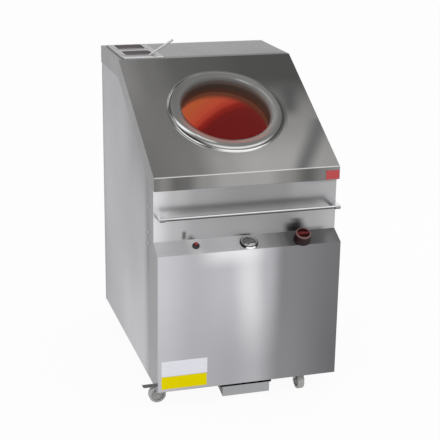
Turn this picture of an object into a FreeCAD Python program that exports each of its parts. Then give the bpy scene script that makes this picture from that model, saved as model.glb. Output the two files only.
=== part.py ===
import FreeCAD, Part
import Sketcher
import math
import os
import re

from FreeCAD import Placement, Rotation, Vector

# Electric tandoor on castors: a stainless cabinet with a sloping top, a tilted
# clay pot in an insulated barrel, a control strip, a towel rail, a debris tray
# and two spice pans in the deck. Millimetres, +Z up, origin on the floor under
# the middle of the whole object; x runs to the right, y from front to back.

doc = FreeCAD.newDocument("electric_tandoor")

sizes = {
    # cabinet
    "body_width": 700, "body_depth": 980, "floor_gap": 72, "deck_height": 1202,
    "slope_rise": 320, "slope_angle": 28.8, "cover_sheet": 1.5, "panel_sheet": 1.2,
    "panel_flange": 18, "seam_gap": 1, "side_gap": 0.3,
    # front cover: heights are counted from the crease or the strip's upper edge
    "panel_setback": 67, "panel_height": 245, "strip_angle": 26.2, "cover_return": 143,
    "cover_drop": 22, "screw_setback": 135, "screw_below": 24, "screw_above": 18,
    "screw_high": 118, "screw_radius": 2.2, "screw_head_radius": 4, "screw_head_height": 2,
    "screw_length": 6,
    # hood
    "lip_setback": 43, "lip_height": 48, "hood_gap": 0.5, "skirt_depth": 70,
    "hood_screw_inset": 111, "hood_screw_drop": 14,
    # mouth, along the slope from the front crease
    "mouth_along": 339, "mouth_radius": 172, "ring_radius": 225, "ring_height": 22,
    "ring_sheet": 2, "ring_foot_height": 3.5, "bead_radius": 4, "bead_gap": 9,
    "bead_reach": 2, "neck_sheet": 2, "neck_length": 60, "neck_flange_radius": 207,
    # pot, insulation and barrel, measured down the tilted axis
    "throat_radius": 169, "pot_wall": 32, "pot_floor_radius": 150, "pot_length": 540,
    "pot_floor": 32, "pot_belly": 45, "pot_gap": 2, "barrel_radius": 280,
    "barrel_sheet": 2, "floor_packing": 14, "lid_rise": 10, "outlet_offset": 105,
    "outlet_radius": 38, "outlet_clearance": 2,
    # heating elements
    "outer_loop_radius": 130, "inner_loop_radius": 95, "element_radius": 4.25,
    "element_leg_gap": 20, "element_rise": 25, "element_tail": 34, "leg_clearance": 2.25,
    "terminal_depth": 45, "terminal_width": 80, "terminal_length": 70, "terminal_sheet": 1,
    # cradle, chute, tray
    "cradle_spread": 150, "cradle_sheet": 3, "cradle_back": 230, "cradle_toe": 238,
    "cradle_nose": 250, "toe_height": 40, "chute_width": 90, "chute_sheet": 1.2,
    "chute_clearance": 2, "chute_hole_gap": 1, "tray_width": 186, "tray_front": 25,
    "tray_length": 585, "tray_floor": 13, "tray_height": 39, "tray_sheet": 1.2,
    "tray_nose": 50, "tray_rise": 12,
    "tray_lip": 8, "lip_clearance": 1.5, "runner_sheet": 1.5, "runner_flange": 15,
    "runner_shelf": 7, "runner_inset": 8,
    # base
    "base_height": 90, "base_wall": 30, "base_sheet": 2, "base_gap": 2, "base_back_gap": 4,
    "post_width": 30, "post_sheet": 2, "post_front": 72, "post_front_drop": 32,
    "post_drop": 14,
    # back panel
    "back_top_gap": 8, "vent_length": 170, "vent_height": 7, "vent_pitch": 22,
    "vent_rows": 9, "vent_low": 420, "vent_high": 760, "back_screw_inset": 15,
    "back_screw_low": 110, "back_screw_drop": 112,
    # controls, down the strip from its upper edge
    "knob_inset": 147, "knob_along": 50, "knob_radius": 28.5, "knob_skirt_radius": 31.5,
    "knob_height": 38, "knob_lift": 1, "knob_grip_width": 11, "knob_grip_depth": 8,
    "knob_rim": 3, "knob_skirt_height": 6, "knob_step": 3, "knob_flare": 0.6,
    "shaft_radius": 3, "shaft_clearance": 0.05, "shaft_into_knob": 22, "shaft_into_body": 18,
    "bush_radius": 6, "bush_height": 4, "bush_clearance": 1, "bore_depth_spare": 1,
    "thermostat_width": 46, "thermostat_depth": 34, "button_inset": 150, "button_along": 36,
    "collar_radius": 13.5, "collar_neck_radius": 10.8, "collar_height": 10,
    "collar_round": 6, "collar_depth": 18, "switch_width": 22, "switch_depth": 26,
    "button_radius": 6, "button_gap": 0.3, "button_height": 18, "button_round": 2.5,
    "button_tail": 10, "gauge_along": 40, "bezel_radius": 34, "bezel_height": 7,
    "bezel_round": 4, "case_radius": 29, "case_sheet": 1.5, "case_depth": 24,
    "nipple_radius": 6, "nipple_length": 10, "face_depth": 8, "glass_height": 3,
    "glass_sheet": 1.5, "bezel_lip": 1.5, "needle_length": 20, "needle_width": 2.4,
    "needle_tip_width": 0.8, "needle_sheet": 0.8, "needle_hub_radius": 3, "needle_gap": 2,
    "needle_cap": 0.6, "needle_rest": 135, "hole_clearance": 0.2,
    # towel rail
    "rail_drop": 142, "rail_forward": 62, "rail_radius": 6, "rail_inset": 8,
    "bracket_width": 20, "bracket_height": 18, "rail_seat": 8,
    # spice pans
    "frame_side_gap": 16, "frame_width": 168, "frame_setback": 18, "frame_length": 318,
    "frame_height": 4, "frame_sheet": 1.5, "frame_corner": 6, "pan_inset": 51,
    "pan_pitch": 150, "pan_width": 116, "pan_length": 104, "pan_depth": 55, "pan_foot": 7,
    "pan_sheet": 1, "pan_rim": 8, "pan_corner": 14, "pan_play": 1, "cut_margin": 10,
    # ladle
    "bowl_radius": 22, "bowl_sheet": 1.5, "bowl_shift": 26, "bowl_inset": 30,
    "bowl_lift": 0.5, "ladle_radius": 3.2, "ladle_tip_radius": 5, "ladle_length": 170,
    "ladle_lean": 56, "ladle_turn": 17,
    # castors
    "wheel_radius": 32.5, "tread_width": 26, "wheel_bore": 4.05, "wheel_hub": 10,
    "wheel_web": 12, "web_taper": 1, "wheel_rim": 24, "tread_round": 4, "axle_radius": 4,
    "axle_head_radius": 6.5, "axle_head_height": 4, "fork_width": 31, "fork_sheet": 2.5,
    "fork_gap": 0.3, "fork_cheek": 9, "fork_ear": 6, "castor_trail": 28,
    "crown_height": 84, "crown_radius": 20, "crown_depth": 7, "boss_margin": 1,
    "plate_width": 60, "plate_sheet": 3, "king_radius": 5, "king_clearance": 0.05,
    "king_length": 4, "bolt_spread": 22, "bolt_radius": 4, "bolt_head_radius": 6.5,
    "bolt_head_height": 5, "outer_castor_inset": 42, "inner_castor_inset": 128,
    "castor_inset": 76, "pedal_pivot_x": 31, "pedal_pivot_z": 70, "pedal_reach": 84,
    "pedal_step": 12, "pedal_drop": 2, "pedal_lip": 3, "pedal_width": 24, "pedal_sheet": 2.5,
    "pedal_pin_radius": 2, "pin_clearance": 0.05, "pedal_hub_radius": 3.5,
    # supply
    "gland_x": 80, "gland_inset": 60, "gland_bore_radius": 6.5, "gland_thread_radius": 9.8,
    "gland_flange_radius": 14, "gland_drop": 24, "gland_cone": 7, "gland_step": 3,
    "gland_lip": 2, "gland_nut": 6, "gland_collar": 4, "stud_x": 80, "stud_radius": 3,
    "stud_drop": 20, "stud_nut_radius": 5.5, "stud_nut_height": 4, "stud_head_height": 3,
    "block_x": 120, "block_z": 240, "block_width": 90, "block_height": 34, "block_depth": 24,
    "block_ways": 5, "block_pitch": 16, "block_screw_radius": 4.5,
}

sheet = doc.addObject("Spreadsheet::Sheet", "sizes")
for row, (name, value) in enumerate(sizes.items(), start=1):
    sheet.set(f"A{row}", name)
    sheet.set(f"B{row}", str(value))
    sheet.setAlias(f"B{row}", name)
doc.recompute()

# Lengths that follow from the sizes. Y is counted from the apron's front face.
derived = {
    "half_width": "body_width / 2",
    "crease_height": "deck_height - slope_rise",
    "strip_top": "crease_height - panel_height",
    "rail_height": "crease_height - rail_drop",
    "knob_x": "half_width - knob_inset",
    "button_x": "half_width - button_inset",
    "frame_front": "deck_front + frame_setback",
    "pan_x": "half_width - frame_side_gap - frame_width / 2",
    "pan_front": "frame_front + pan_inset",
    "hood_screw_y": "deck_front + hood_screw_inset",
    "back_screw_x": "half_width - back_screw_inset",
    "back_screw_top": "deck_height - back_screw_drop",
    "outer_castor": "half_width - outer_castor_inset",
    "inner_castor": "half_width - inner_castor_inset",
    "hood_back": "body_depth + side_gap + cover_sheet",
    "strip_length": "panel_setback / cos(strip_angle)",
    "strip_foot": "strip_top - panel_setback * tan(strip_angle)",
    "knob_reach": "(knob_height - knob_rim) * sin(strip_angle) + knob_rim - panel_setback"
                  " + (knob_radius - knob_rim + knob_along) * cos(strip_angle)",
    "rear_reach": "max(hood_back; body_depth + screw_head_height)",
    "front": "(knob_reach - rear_reach) / 2",
    "cover_top": "crease_height + (panel_setback - lip_setback) * tan(slope_angle) - cover_drop",
    "hood_half": "half_width + hood_gap + cover_sheet",
    "lip_foot": "crease_height - lip_height",
    "deck_front": "lip_setback + (deck_height - crease_height) / tan(slope_angle)",
    "skirt_turn": "lip_setback + (skirt_depth / cos(slope_angle) - lip_height)"
                  " / tan(slope_angle)",
    "skirt_kink": "deck_front + skirt_depth * tan(slope_angle / 2)",
    "mouth_y": "lip_setback + mouth_along * cos(slope_angle)",
    "mouth_z": "crease_height + mouth_along * sin(slope_angle)",
    "hood_hole": "mouth_radius + ring_sheet + side_gap",
    "arch_foot": "ring_radius - bead_gap + bead_reach",
    "arch_half": "(arch_foot - mouth_radius) / 2",
    "arch_rise": "ring_height - ring_foot_height",
    "neck_foot": "cover_sheet + neck_length",
    "pot_bottom": "neck_foot + pot_length",
    "barrel_bottom": "pot_bottom + floor_packing + barrel_sheet + pot_gap",
    "lid_top": "neck_foot - lid_rise",
    "element_depth": "pot_bottom - pot_floor - element_rise",
    "under_hood": "cover_sheet / cos(slope_angle) + side_gap",
    "side_front": "cover_return + seam_gap",
    "side_back": "body_depth - panel_sheet - side_gap",
    "side_top": "deck_height - cover_sheet - side_gap * 2",
    "base_top": "base_height + base_sheet",
    "base_half": "half_width - cover_sheet - side_gap",
    "base_front": "cover_sheet + side_gap",
    "base_back": "body_depth - base_back_gap",
    "post_half": "base_half - base_sheet - side_gap",
    "outlet_y": "mouth_y - outlet_offset * cos(slope_angle) + barrel_bottom * sin(slope_angle)",
    "tray_top": "tray_floor + tray_height",
    "tray_back": "tray_front + tray_length",
    "lip_edge": "tray_width / 2 + tray_lip",
    "runner_web": "lip_edge + lip_clearance",
    "rail_y": "panel_setback - rail_forward",
    "bracket_outer": "half_width - rail_inset",
    "frame_top": "deck_height + frame_height",
    "plate_top": "base_height",
    "plate_foot": "base_height - plate_sheet",
    "fork_half": "fork_width / 2 + fork_sheet",
    "castor_back": "body_depth - castor_inset",
    "bowl_z": "frame_top - pan_depth + pan_sheet + bowl_lift + bowl_radius",
}

words = re.compile(r"[a-z_]+")


def formula(text):
    """A formula of plain names as an expression on the sheet."""
    while any(word in derived for word in words.findall(text)):
        text = words.sub(lambda m: f"({derived[m.group()]})" if m.group() in derived
                         else m.group(), text)
    return words.sub(lambda m: f"sizes.{m.group()}" if m.group() in sizes else m.group(), text)


def amount(text):
    """The present value of a formula."""
    return float(sheet.evalExpression(formula(text)))


def bind(piece, name, text):
    piece.setExpression(name, formula(text))


nodes = []        # every sub-part that is written to a file
cuts = []         # each cut with the feature before it, for the volume check


def keep(piece, label):
    """Make an object a sub-part with a name of its own."""
    piece.Label = label
    nodes.append(piece)
    return piece


def place(piece, x="0", y="0", z="0", axis=None, angle="0"):
    """Stand a piece in the object's frame, its place bound to the sheet."""
    if axis:
        piece.Placement = Placement(Vector(), Rotation(Vector(*axis), amount(angle)))
        bind(piece, "Placement.Rotation.Angle", angle)
    for name, text in (("x", x), ("y", y), ("z", z)):
        bind(piece, f"Placement.Base.{name}", text)


def new_body(label, frame="cabinet", kept=True):
    """A body whose own frame is the cabinet's, the mouth's or the strip's."""
    body = doc.addObject("PartDesign::Body", label)
    if kept:
        keep(body, label)
    if frame == "cabinet":
        place(body, y="front")
    elif frame == "mouth":
        place(body, y="front + mouth_y", z="mouth_z", axis=(1, 0, 0), angle="slope_angle")
    elif frame == "strip":
        place(body, y="front + panel_setback", z="strip_top", axis=(1, 0, 0),
              angle="strip_angle")
    return body


def new_sketch(body, plane, offset="0", shift=None, tilt=None):
    """A sketch on one of the body's own planes, moved along its normal.

    shift and tilt carry an XY sketch to a point and lean it about x instead.
    """
    sketch = body.newObject("Sketcher::SketchObject", "outline")
    origin = [f for f in body.Origin.OriginFeatures if f.Role == plane + "_Plane"][0]
    sketch.AttachmentSupport = [(origin, "")]
    sketch.MapMode = "FlatFace"
    if tilt:
        sketch.AttachmentOffset = Placement(Vector(), Rotation(Vector(1, 0, 0), amount(tilt)))
        bind(sketch, "AttachmentOffset.Rotation.Angle", tilt)
    if shift:
        bind(sketch, "AttachmentOffset.Base.y", shift[0])
        bind(sketch, "AttachmentOffset.Base.z", shift[1])
    else:
        bind(sketch, "AttachmentOffset.Base.z", offset)
    return sketch


def fix(sketch, kind, texts, *where):
    """A driving constraint bound to the sheet."""
    index = sketch.addConstraint(Sketcher.Constraint(kind, *where, amount(texts)))
    sketch.setExpression(f"Constraints[{index}]", formula(texts))


def add_loop(sketch, points):
    """A closed loop. A point is (across, up); the edge that leaves it is an arc where
    it also gives a radius, or half a turn, and a turn, 1 anticlockwise or -1 clockwise."""
    at = [Vector(amount(p[0]), amount(p[1]), 0) for p in points]
    first = sketch.GeometryCount
    ends = []
    for i, point in enumerate(points):
        a, b = at[i], at[(i + 1) % len(at)]
        if len(point) == 2:
            sketch.addGeometry(Part.LineSegment(a, b))
            ends.append((1, 2))
            continue
        chord, turn = b - a, point[3]
        radius = chord.Length / 2 if point[2] == "half" else amount(point[2])
        left = Vector(-chord.y, chord.x, 0).normalize() * turn
        centre = (a + b) / 2 + left * math.sqrt(max(radius**2 - chord.Length**2 / 4, 0))
        start, end = (a, b) if turn > 0 else (b, a)
        angles = [math.atan2(v.y - centre.y, v.x - centre.x) for v in (start, end)]
        circle = Part.Circle(centre, Vector(0, 0, 1), radius)
        sketch.addGeometry(Part.ArcOfCircle(circle, *angles))
        ends.append((1, 2) if turn > 0 else (2, 1))
    count = len(points)
    for i, point in enumerate(points):
        after = (i + 1) % count
        sketch.addConstraint(Sketcher.Constraint(
            "Coincident", first + i, ends[i][1], first + after, ends[after][0]))
        fix(sketch, "DistanceX", point[0], -1, 1, first + i, ends[i][0])
        fix(sketch, "DistanceY", point[1], -1, 1, first + i, ends[i][0])
        if len(point) > 2 and point[2] == "half":      # its centre is level with its ends
            way = "X" if abs(at[after].x - at[i].x) < 1e-6 else "Y"
            fix(sketch, "Distance" + way, point[0 if way == "X" else 1], -1, 1, first + i, 3)
        elif len(point) > 2:
            fix(sketch, "Radius", point[2], first + i)


def add_circles(sketch, circles):
    """Circles, each given as (across, up, radius)."""
    for across, up, radius in circles:
        centre = Vector(amount(across), amount(up), 0)
        index = sketch.addGeometry(Part.Circle(centre, Vector(0, 0, 1), amount(radius)))
        fix(sketch, "DistanceX", across, -1, 1, index, 3)
        fix(sketch, "DistanceY", up, -1, 1, index, 3)
        fix(sketch, "Radius", radius, index)


def box_loop(x0, y0, x1, y1):
    return [(x0, y0), (x1, y0), (x1, y1), (x0, y1)]


def round_loop(x0, y0, x1, y1, radius):
    """A rectangle with rounded corners, anticlockwise."""
    return [(f"{x0} + {radius}", y0), (f"{x1} - {radius}", y0, radius, 1),
            (x1, f"{y0} + {radius}"), (x1, f"{y1} - {radius}", radius, 1),
            (f"{x1} - {radius}", y1), (f"{x0} + {radius}", y1, radius, 1),
            (x0, f"{y1} - {radius}"), (x0, f"{y0} + {radius}", radius, 1)]


def pad(body, sketch, length, both=False, back=False):
    feature = body.newObject("PartDesign::Pad", "pad")
    feature.Profile = sketch
    feature.SideType = "Symmetric" if both else "One side"
    feature.Reversed = back
    bind(feature, "Length", length)
    doc.recompute()
    return feature


def pocket(body, sketch, length, back=False, both=True):
    """Cut to a depth, half of it on each side of the sketch unless both is off."""
    before = body.Tip
    feature = body.newObject("PartDesign::Pocket", "pocket")
    feature.Profile = sketch
    feature.SideType = "Symmetric" if both else "One side"
    feature.Reversed = back
    bind(feature, "Length", length)
    doc.recompute()
    cuts.append((feature, before))
    return feature


def revolve(body, points, axis="V_Axis", plane="XZ"):
    """Turn a closed half section once round the body's own axis."""
    sketch = new_sketch(body, plane)
    add_loop(sketch, points)
    feature = body.newObject("PartDesign::Revolution", "turned")
    feature.Profile = sketch
    feature.ReferenceAxis = (sketch, [axis])
    feature.Angle = 360
    doc.recompute()
    return feature


def hollow(body, wall, open_face):
    """Fold the last solid from sheet: walls inward, open where a face's normal says."""
    solid = body.Tip
    names = [f"Face{i}" for i, face in enumerate(solid.Shape.Faces, start=1)
             if open_face(face.normalAt(0, 0))]
    feature = body.newObject("PartDesign::Thickness", "folded")
    feature.Base = (solid, names)
    feature.Reversed = True
    bind(feature, "Value", wall)
    doc.recompute()
    cuts.append((feature, solid))
    return feature


def round_edges(body, radius, chosen):
    """Fillet the last solid's edges that the test picks."""
    solid = body.Tip
    names = [f"Edge{i}" for i, edge in enumerate(solid.Shape.Edges, start=1) if chosen(edge)]
    feature = body.newObject("PartDesign::Fillet", "rounded")
    feature.Base = (solid, names)
    bind(feature, "Radius", radius)
    doc.recompute()
    return feature


def along(edge, axis):
    """Whether a straight edge runs along x, y or z."""
    if edge.Curve.TypeId != "Part::GeomLine":
        return False
    return abs(abs(edge.tangentAt(edge.FirstParameter).dot(Vector(*axis))) - 1) < 1e-6


def slope_y(up_slope, out):
    """Y of a point in the mouth's tilted frame, from the apron's face."""
    return f"(mouth_y + ({up_slope}) * cos(slope_angle) - ({out}) * sin(slope_angle))"


def slope_z(up_slope, out):
    return f"(mouth_z + ({up_slope}) * sin(slope_angle) + ({out}) * cos(slope_angle))"


# ---- base ----
castors = {       # name: pivot x, pivot y, direction in which the wheel trails
    "front_left": ("-outer_castor", "castor_inset", 180),
    "front_right": ("inner_castor", "castor_inset", 270),
    "rear_left": ("-inner_castor", "castor_back", 90),
    "rear_right": ("outer_castor", "castor_back", 0),
}


def bolt_circles(radius):
    """The four bolts of each castor plate."""
    return [(f"{x} + {i} * bolt_spread", f"{y} + {j} * bolt_spread", radius)
            for x, y, _ in castors.values() for i in (-1, 1) for j in (-1, 1)]


def make_base():
    pan = new_body("base_pan")
    sketch = new_sketch(pan, "XY", "base_height")
    add_loop(sketch, box_loop("-base_half", "base_front", "base_half", "base_back"))
    pad(pan, sketch, "base_wall")
    hollow(pan, "base_sheet", lambda n: n.z > 0.9)
    holes = new_sketch(pan, "XY", "base_height")
    half = "(chute_width / 2 + chute_hole_gap)"
    add_loop(holes, box_loop(f"-{half}", f"outlet_y - {half}", half, f"outlet_y + {half}"))
    add_circles(holes, bolt_circles("bolt_radius"))
    add_circles(holes, [("-gland_x", "body_depth - gland_inset", "gland_thread_radius"),
                        ("stud_x", "body_depth - gland_inset", "stud_radius")])
    pocket(pan, holes, "base_sheet * 4")
    rear = new_sketch(pan, "XZ", "-base_back")
    add_circles(rear, [(f"{sign} * back_screw_x", "back_screw_low", "screw_radius")
                       for sign in (-1, 1)])
    pocket(pan, rear, "base_sheet * 4")

    posts = new_body("corner_posts")
    for sign in (-1, 1):
        for near, far, step, top in (
                ("post_front", "post_front", 1, "crease_height - post_front_drop"),
                ("base_back - base_sheet - side_gap", "base_back", -1,
                 "deck_height - post_drop")):
            outer, inner = f"{sign} * post_half", f"{sign} * (post_half - post_sheet)"
            reach = f"{sign} * (post_half - post_width)"
            sketch = new_sketch(posts, "XY", "base_top")
            add_loop(sketch, [
                (outer, near), (outer, f"{near} + {step} * post_width"),
                (inner, f"{near} + {step} * post_width"), (inner, f"{near} + {step} * post_sheet"),
                (reach, f"{near} + {step} * post_sheet"), (reach, near)])
            pad(posts, sketch, f"{top} - base_top")


# ---- sheet-metal casing ----
cover_screw_spots = [("screw_setback", f"strip_top {z}")
                     for z in ("- screw_below", "+ screw_above", "+ screw_high")]


def make_front_cover():
    cover = new_body("front_cover")
    sketch = new_sketch(cover, "YZ")
    add_loop(sketch, [
        ("0", "floor_gap"), ("cover_return", "floor_gap"), ("cover_return", "cover_top"),
        ("panel_setback", "cover_top"), ("panel_setback", "strip_top"), ("0", "strip_foot")])
    pad(cover, sketch, "body_width", both=True)
    hollow(cover, "cover_sheet", lambda n: n.y > 0.9 or abs(n.z) > 0.99)
    holes = new_sketch(cover, "XY", shift=("panel_setback", "strip_top"), tilt="strip_angle")
    add_circles(holes, [
        ("knob_x", "-knob_along", "bush_radius"),
        ("-button_x", "-button_along", "collar_neck_radius + hole_clearance"),
        ("0", "-gauge_along", "case_radius + hole_clearance")])
    pocket(cover, holes, "cover_sheet * 4")
    sides = new_sketch(cover, "YZ")
    add_circles(sides, [(y, z, "screw_radius") for y, z in cover_screw_spots])
    pocket(cover, sides, "body_width * 2")


def make_hood():
    hood = new_body("hood")
    sketch = new_sketch(hood, "YZ")
    add_loop(sketch, [
        ("lip_setback", "lip_foot"), ("skirt_turn", "lip_foot"),
        ("skirt_kink", "deck_height - skirt_depth"), ("hood_back", "deck_height - skirt_depth"),
        ("hood_back", "deck_height"), ("deck_front", "deck_height"),
        ("lip_setback", "crease_height")])
    pad(hood, sketch, "hood_half * 2", both=True)
    hollow(hood, "cover_sheet", lambda n: n.z < -0.5)
    mouth = new_sketch(hood, "XY", shift=("mouth_y", "mouth_z"), tilt="slope_angle")
    add_circles(mouth, [("0", "0", "hood_hole")])
    pocket(hood, mouth, "cover_sheet * 4")
    well = new_sketch(hood, "XY", "deck_height")
    add_loop(well, box_loop("-pan_x - frame_width / 2 + cut_margin", "frame_front + cut_margin * 3",
                            "-pan_x + frame_width / 2 - cut_margin",
                            "frame_front + frame_length - cut_margin"))
    pocket(hood, well, "cover_sheet * 4")
    screws = new_sketch(hood, "YZ")
    add_circles(screws, [("hood_screw_y", "deck_height - hood_screw_drop", "screw_radius")])
    pocket(hood, screws, "body_width * 2")


def make_side_panels():
    for side, sign in (("left", -1), ("right", 1)):
        panel = new_body(f"side_panel_{side}")
        start = "-half_width" if sign < 0 else "half_width - panel_flange"
        sketch = new_sketch(panel, "YZ", start)
        add_loop(sketch, [
            ("side_front", "floor_gap"), ("side_back", "floor_gap"), ("side_back", "side_top"),
            ("deck_front + 2 * side_gap", "side_top"),
            ("side_front", "crease_height + (side_front - lip_setback) * tan(slope_angle)"
             " - under_hood * 1.5")])
        pad(panel, sketch, "panel_flange")
        hollow(panel, "panel_sheet",
               lambda n, s=sign: n.x * s < -0.9 or n.y < -0.9 or n.z < -0.9)
        hole = new_sketch(panel, "YZ")
        add_circles(hole, [("hood_screw_y", "deck_height - hood_screw_drop", "screw_radius")])
        pocket(panel, hole, "body_width * 2")
        rear = new_sketch(panel, "XZ", "-side_back")
        add_circles(rear, back_screw_circles("screw_radius", (sign,)))
        pocket(panel, rear, "panel_sheet * 4")


def make_back_panel():
    panel = new_body("back_panel")
    sketch = new_sketch(panel, "XZ", "-body_depth")
    add_loop(sketch, box_loop("-half_width", "floor_gap", "half_width",
                              "deck_height - back_top_gap"))
    pad(panel, sketch, "panel_sheet")
    for low in ("vent_low", "vent_high"):
        slot = new_sketch(panel, "XZ", "-body_depth")
        add_loop(slot, round_loop("-vent_length / 2", low, "vent_length / 2",
                                  f"{low} + vent_height", "vent_height / 2.01"))
        cut = pocket(panel, slot, "panel_sheet * 4")
        rows = panel.newObject("PartDesign::LinearPattern", "rows")
        rows.Originals = [cut]
        rows.Direction = (slot, ["V_Axis"])
        bind(rows, "Length", "vent_pitch * (vent_rows - 1)")
        bind(rows, "Occurrences", "vent_rows")
        panel.Tip = rows
        doc.recompute()
        cuts.append((rows, cut))
    holes = new_sketch(panel, "XZ", "-body_depth")
    add_circles(holes, back_screw_circles("screw_radius"))
    pocket(panel, holes, "panel_sheet * 4")


def back_screw_circles(radius, signs=(-1, 1)):
    middle = "(back_screw_low + back_screw_top) / 2"
    return [(f"{sign} * back_screw_x", z, radius) for sign in signs
            for z in ("back_screw_low", middle, "back_screw_top")]


def make_screws():
    """Pan-head screws of the casing: heads on the sheet, shanks through it."""
    screws = new_body("cover_screws")
    for sign in (-1, 1):
        for face, spots in (
                ("half_width", cover_screw_spots),
                ("hood_half", [("hood_screw_y", "deck_height - hood_screw_drop")])):
            for radius, length, inward in (("screw_head_radius", "screw_head_height", False),
                                           ("screw_radius", "screw_length", True)):
                sketch = new_sketch(screws, "YZ", f"{sign} * {face}")
                add_circles(sketch, [(y, z, radius) for y, z in spots])
                pad(screws, sketch, length, back=(sign < 0) != inward)
    for radius, length, inward in (("screw_head_radius", "screw_head_height", True),
                                   ("screw_radius", "screw_length", False)):
        sketch = new_sketch(screws, "XZ", "-body_depth")
        add_circles(sketch, back_screw_circles(radius))
        pad(screws, sketch, length, back=inward)


# ---- mouth, pot and barrel, turned about the tilted axis ----
def make_mouth():
    ring = new_body("mouth_ring", "mouth")
    rise, half = "arch_rise", "arch_half"
    inner_rise, inner_half = f"({rise} - ring_sheet)", f"({half} - ring_sheet)"
    outer_arc = f"(({half})^2 + ({rise})^2) / (2 * {rise})"
    inner_arc = f"({inner_half}^2 + {inner_rise}^2) / (2 * {inner_rise})"
    edge, foot = "ring_radius + bead_reach", "arch_foot"
    revolve(ring, [
        (edge, "0", "bead_radius", 1), (f"{edge} - bead_radius", "bead_radius"),
        ("ring_radius - bead_radius", "ring_sheet"), (foot, "ring_sheet"),
        (foot, "ring_foot_height", outer_arc, 1), ("mouth_radius", "ring_foot_height"),
        ("mouth_radius", "-cover_sheet"), ("mouth_radius + ring_sheet", "-cover_sheet"),
        ("mouth_radius + ring_sheet", "ring_foot_height", inner_arc, -1),
        (f"{foot} - ring_sheet", "ring_foot_height"), (f"{foot} - ring_sheet", "0")])

    neck = new_body("neck_sleeve", "mouth")
    revolve(neck, [
        ("mouth_radius", "-cover_sheet"), ("mouth_radius", "-neck_foot + side_gap"),
        ("mouth_radius + neck_sheet", "-neck_foot + side_gap"),
        ("mouth_radius + neck_sheet", "-cover_sheet - neck_sheet"),
        ("neck_flange_radius", "-cover_sheet - neck_sheet"), ("neck_flange_radius", "-cover_sheet")])


def wall_arc(top, bottom, height, belly):
    """Radius of a bellied wall from its two end radii, its height and its rise."""
    chord = f"(({top} - {bottom})^2 + ({height})^2)"
    return f"({chord} / 4 + ({belly})^2) / (2 * ({belly}))"


def leg_spots():
    """Where the elements' legs pass the pot's floor."""
    return [(f"{sign} * element_leg_gap",
             f"sqrt({ring}^2 - element_leg_gap^2)")
            for ring in ("outer_loop_radius", "inner_loop_radius") for sign in (-1, 1)]


def cut_floor(body, clearance):
    """The debris outlet and the legs' holes through a floor."""
    sketch = new_sketch(body, "XY", "-pot_bottom")
    add_circles(sketch, [("0", "-outlet_offset", f"outlet_radius + {clearance}")])
    add_circles(sketch, [(x, y, "element_radius + leg_clearance") for x, y in leg_spots()])
    pocket(body, sketch, "pot_floor * 4")


def make_pot():
    pot = new_body("clay_pot", "mouth")
    inner_floor = "-pot_bottom + pot_floor"
    inner = wall_arc("throat_radius", "pot_floor_radius", "pot_length - pot_floor", "pot_belly")
    outer = wall_arc("throat_radius", "pot_floor_radius", "pot_length", "pot_belly * 1.06")
    revolve(pot, [
        ("0", "-pot_bottom"), ("pot_floor_radius + pot_wall", "-pot_bottom", outer, 1),
        ("throat_radius + pot_wall", "-neck_foot"), ("throat_radius", "-neck_foot", inner, -1),
        ("pot_floor_radius", inner_floor), ("0", inner_floor)])
    cut_floor(pot, "0")

    packing = new_body("insulation_jacket", "mouth")
    below = "-pot_bottom - pot_gap"
    skin = "barrel_radius - barrel_sheet"
    revolve(packing, [
        ("0", f"{below} - floor_packing"), (skin, f"{below} - floor_packing"),
        (skin, "-lid_top - barrel_sheet"),
        ("throat_radius + pot_wall + pot_gap", "-lid_top - barrel_sheet"),
        ("throat_radius + pot_wall + pot_gap", "-neck_foot", outer, -1),
        ("pot_floor_radius + pot_wall + pot_gap", "-pot_bottom"),
        ("pot_floor_radius + pot_wall + pot_gap", below), ("0", below)])
    cut_floor(packing, "outlet_clearance")

    barrel = new_body("barrel_shell", "mouth")
    floor = f"{below} - floor_packing"
    revolve(barrel, [
        ("0", "-barrel_bottom"), ("barrel_radius", "-barrel_bottom"),
        ("barrel_radius", "-lid_top - barrel_sheet"), (skin, "-lid_top - barrel_sheet"),
        (skin, floor), ("0", floor)])
    cut_floor(barrel, "outlet_clearance")

    lid = new_body("barrel_lid", "mouth")
    inner_edge = "throat_radius + pot_wall + pot_gap"
    revolve(lid, [
        (inner_edge, "-lid_top - barrel_sheet"), ("barrel_radius", "-lid_top - barrel_sheet"),
        ("barrel_radius", "-lid_top"), (inner_edge, "-lid_top")])


def make_element(label, ring):
    """A tubular element: most of a turn, with two legs down through the floor."""
    half_gap = f"asin(element_leg_gap / {ring})"
    loop = doc.addObject("Part::Torus", f"{label}_loop")
    bind(loop, "Radius1", ring)
    bind(loop, "Radius2", "element_radius")
    bind(loop, "Angle3", f"360 - 2 * {half_gap} / 1 deg")
    place(loop, axis=(0, 0, 1), angle=f"90 + {half_gap} / 1 deg")
    shapes = [loop]
    for sign in (-1, 1):
        corner = doc.addObject("Part::Sphere", f"{label}_bend")
        bind(corner, "Radius", "element_radius")
        leg = doc.addObject("Part::Cylinder", f"{label}_leg")
        bind(leg, "Radius", "element_radius")
        bind(leg, "Height", "barrel_bottom - element_depth + element_tail")
        spot = dict(x=f"{sign} * element_leg_gap", y=f"sqrt({ring}^2 - element_leg_gap^2)")
        place(corner, **spot)
        place(leg, z="element_depth - barrel_bottom - element_tail", **spot)
        shapes += [corner, leg]
    element = keep(doc.addObject("Part::MultiFuse", label), label)
    element.Shapes = shapes
    place(element, y=f"front + {slope_y('0', '-element_depth')}",
          z=slope_z("0", "-element_depth"), axis=(1, 0, 0), angle="slope_angle")


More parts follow.
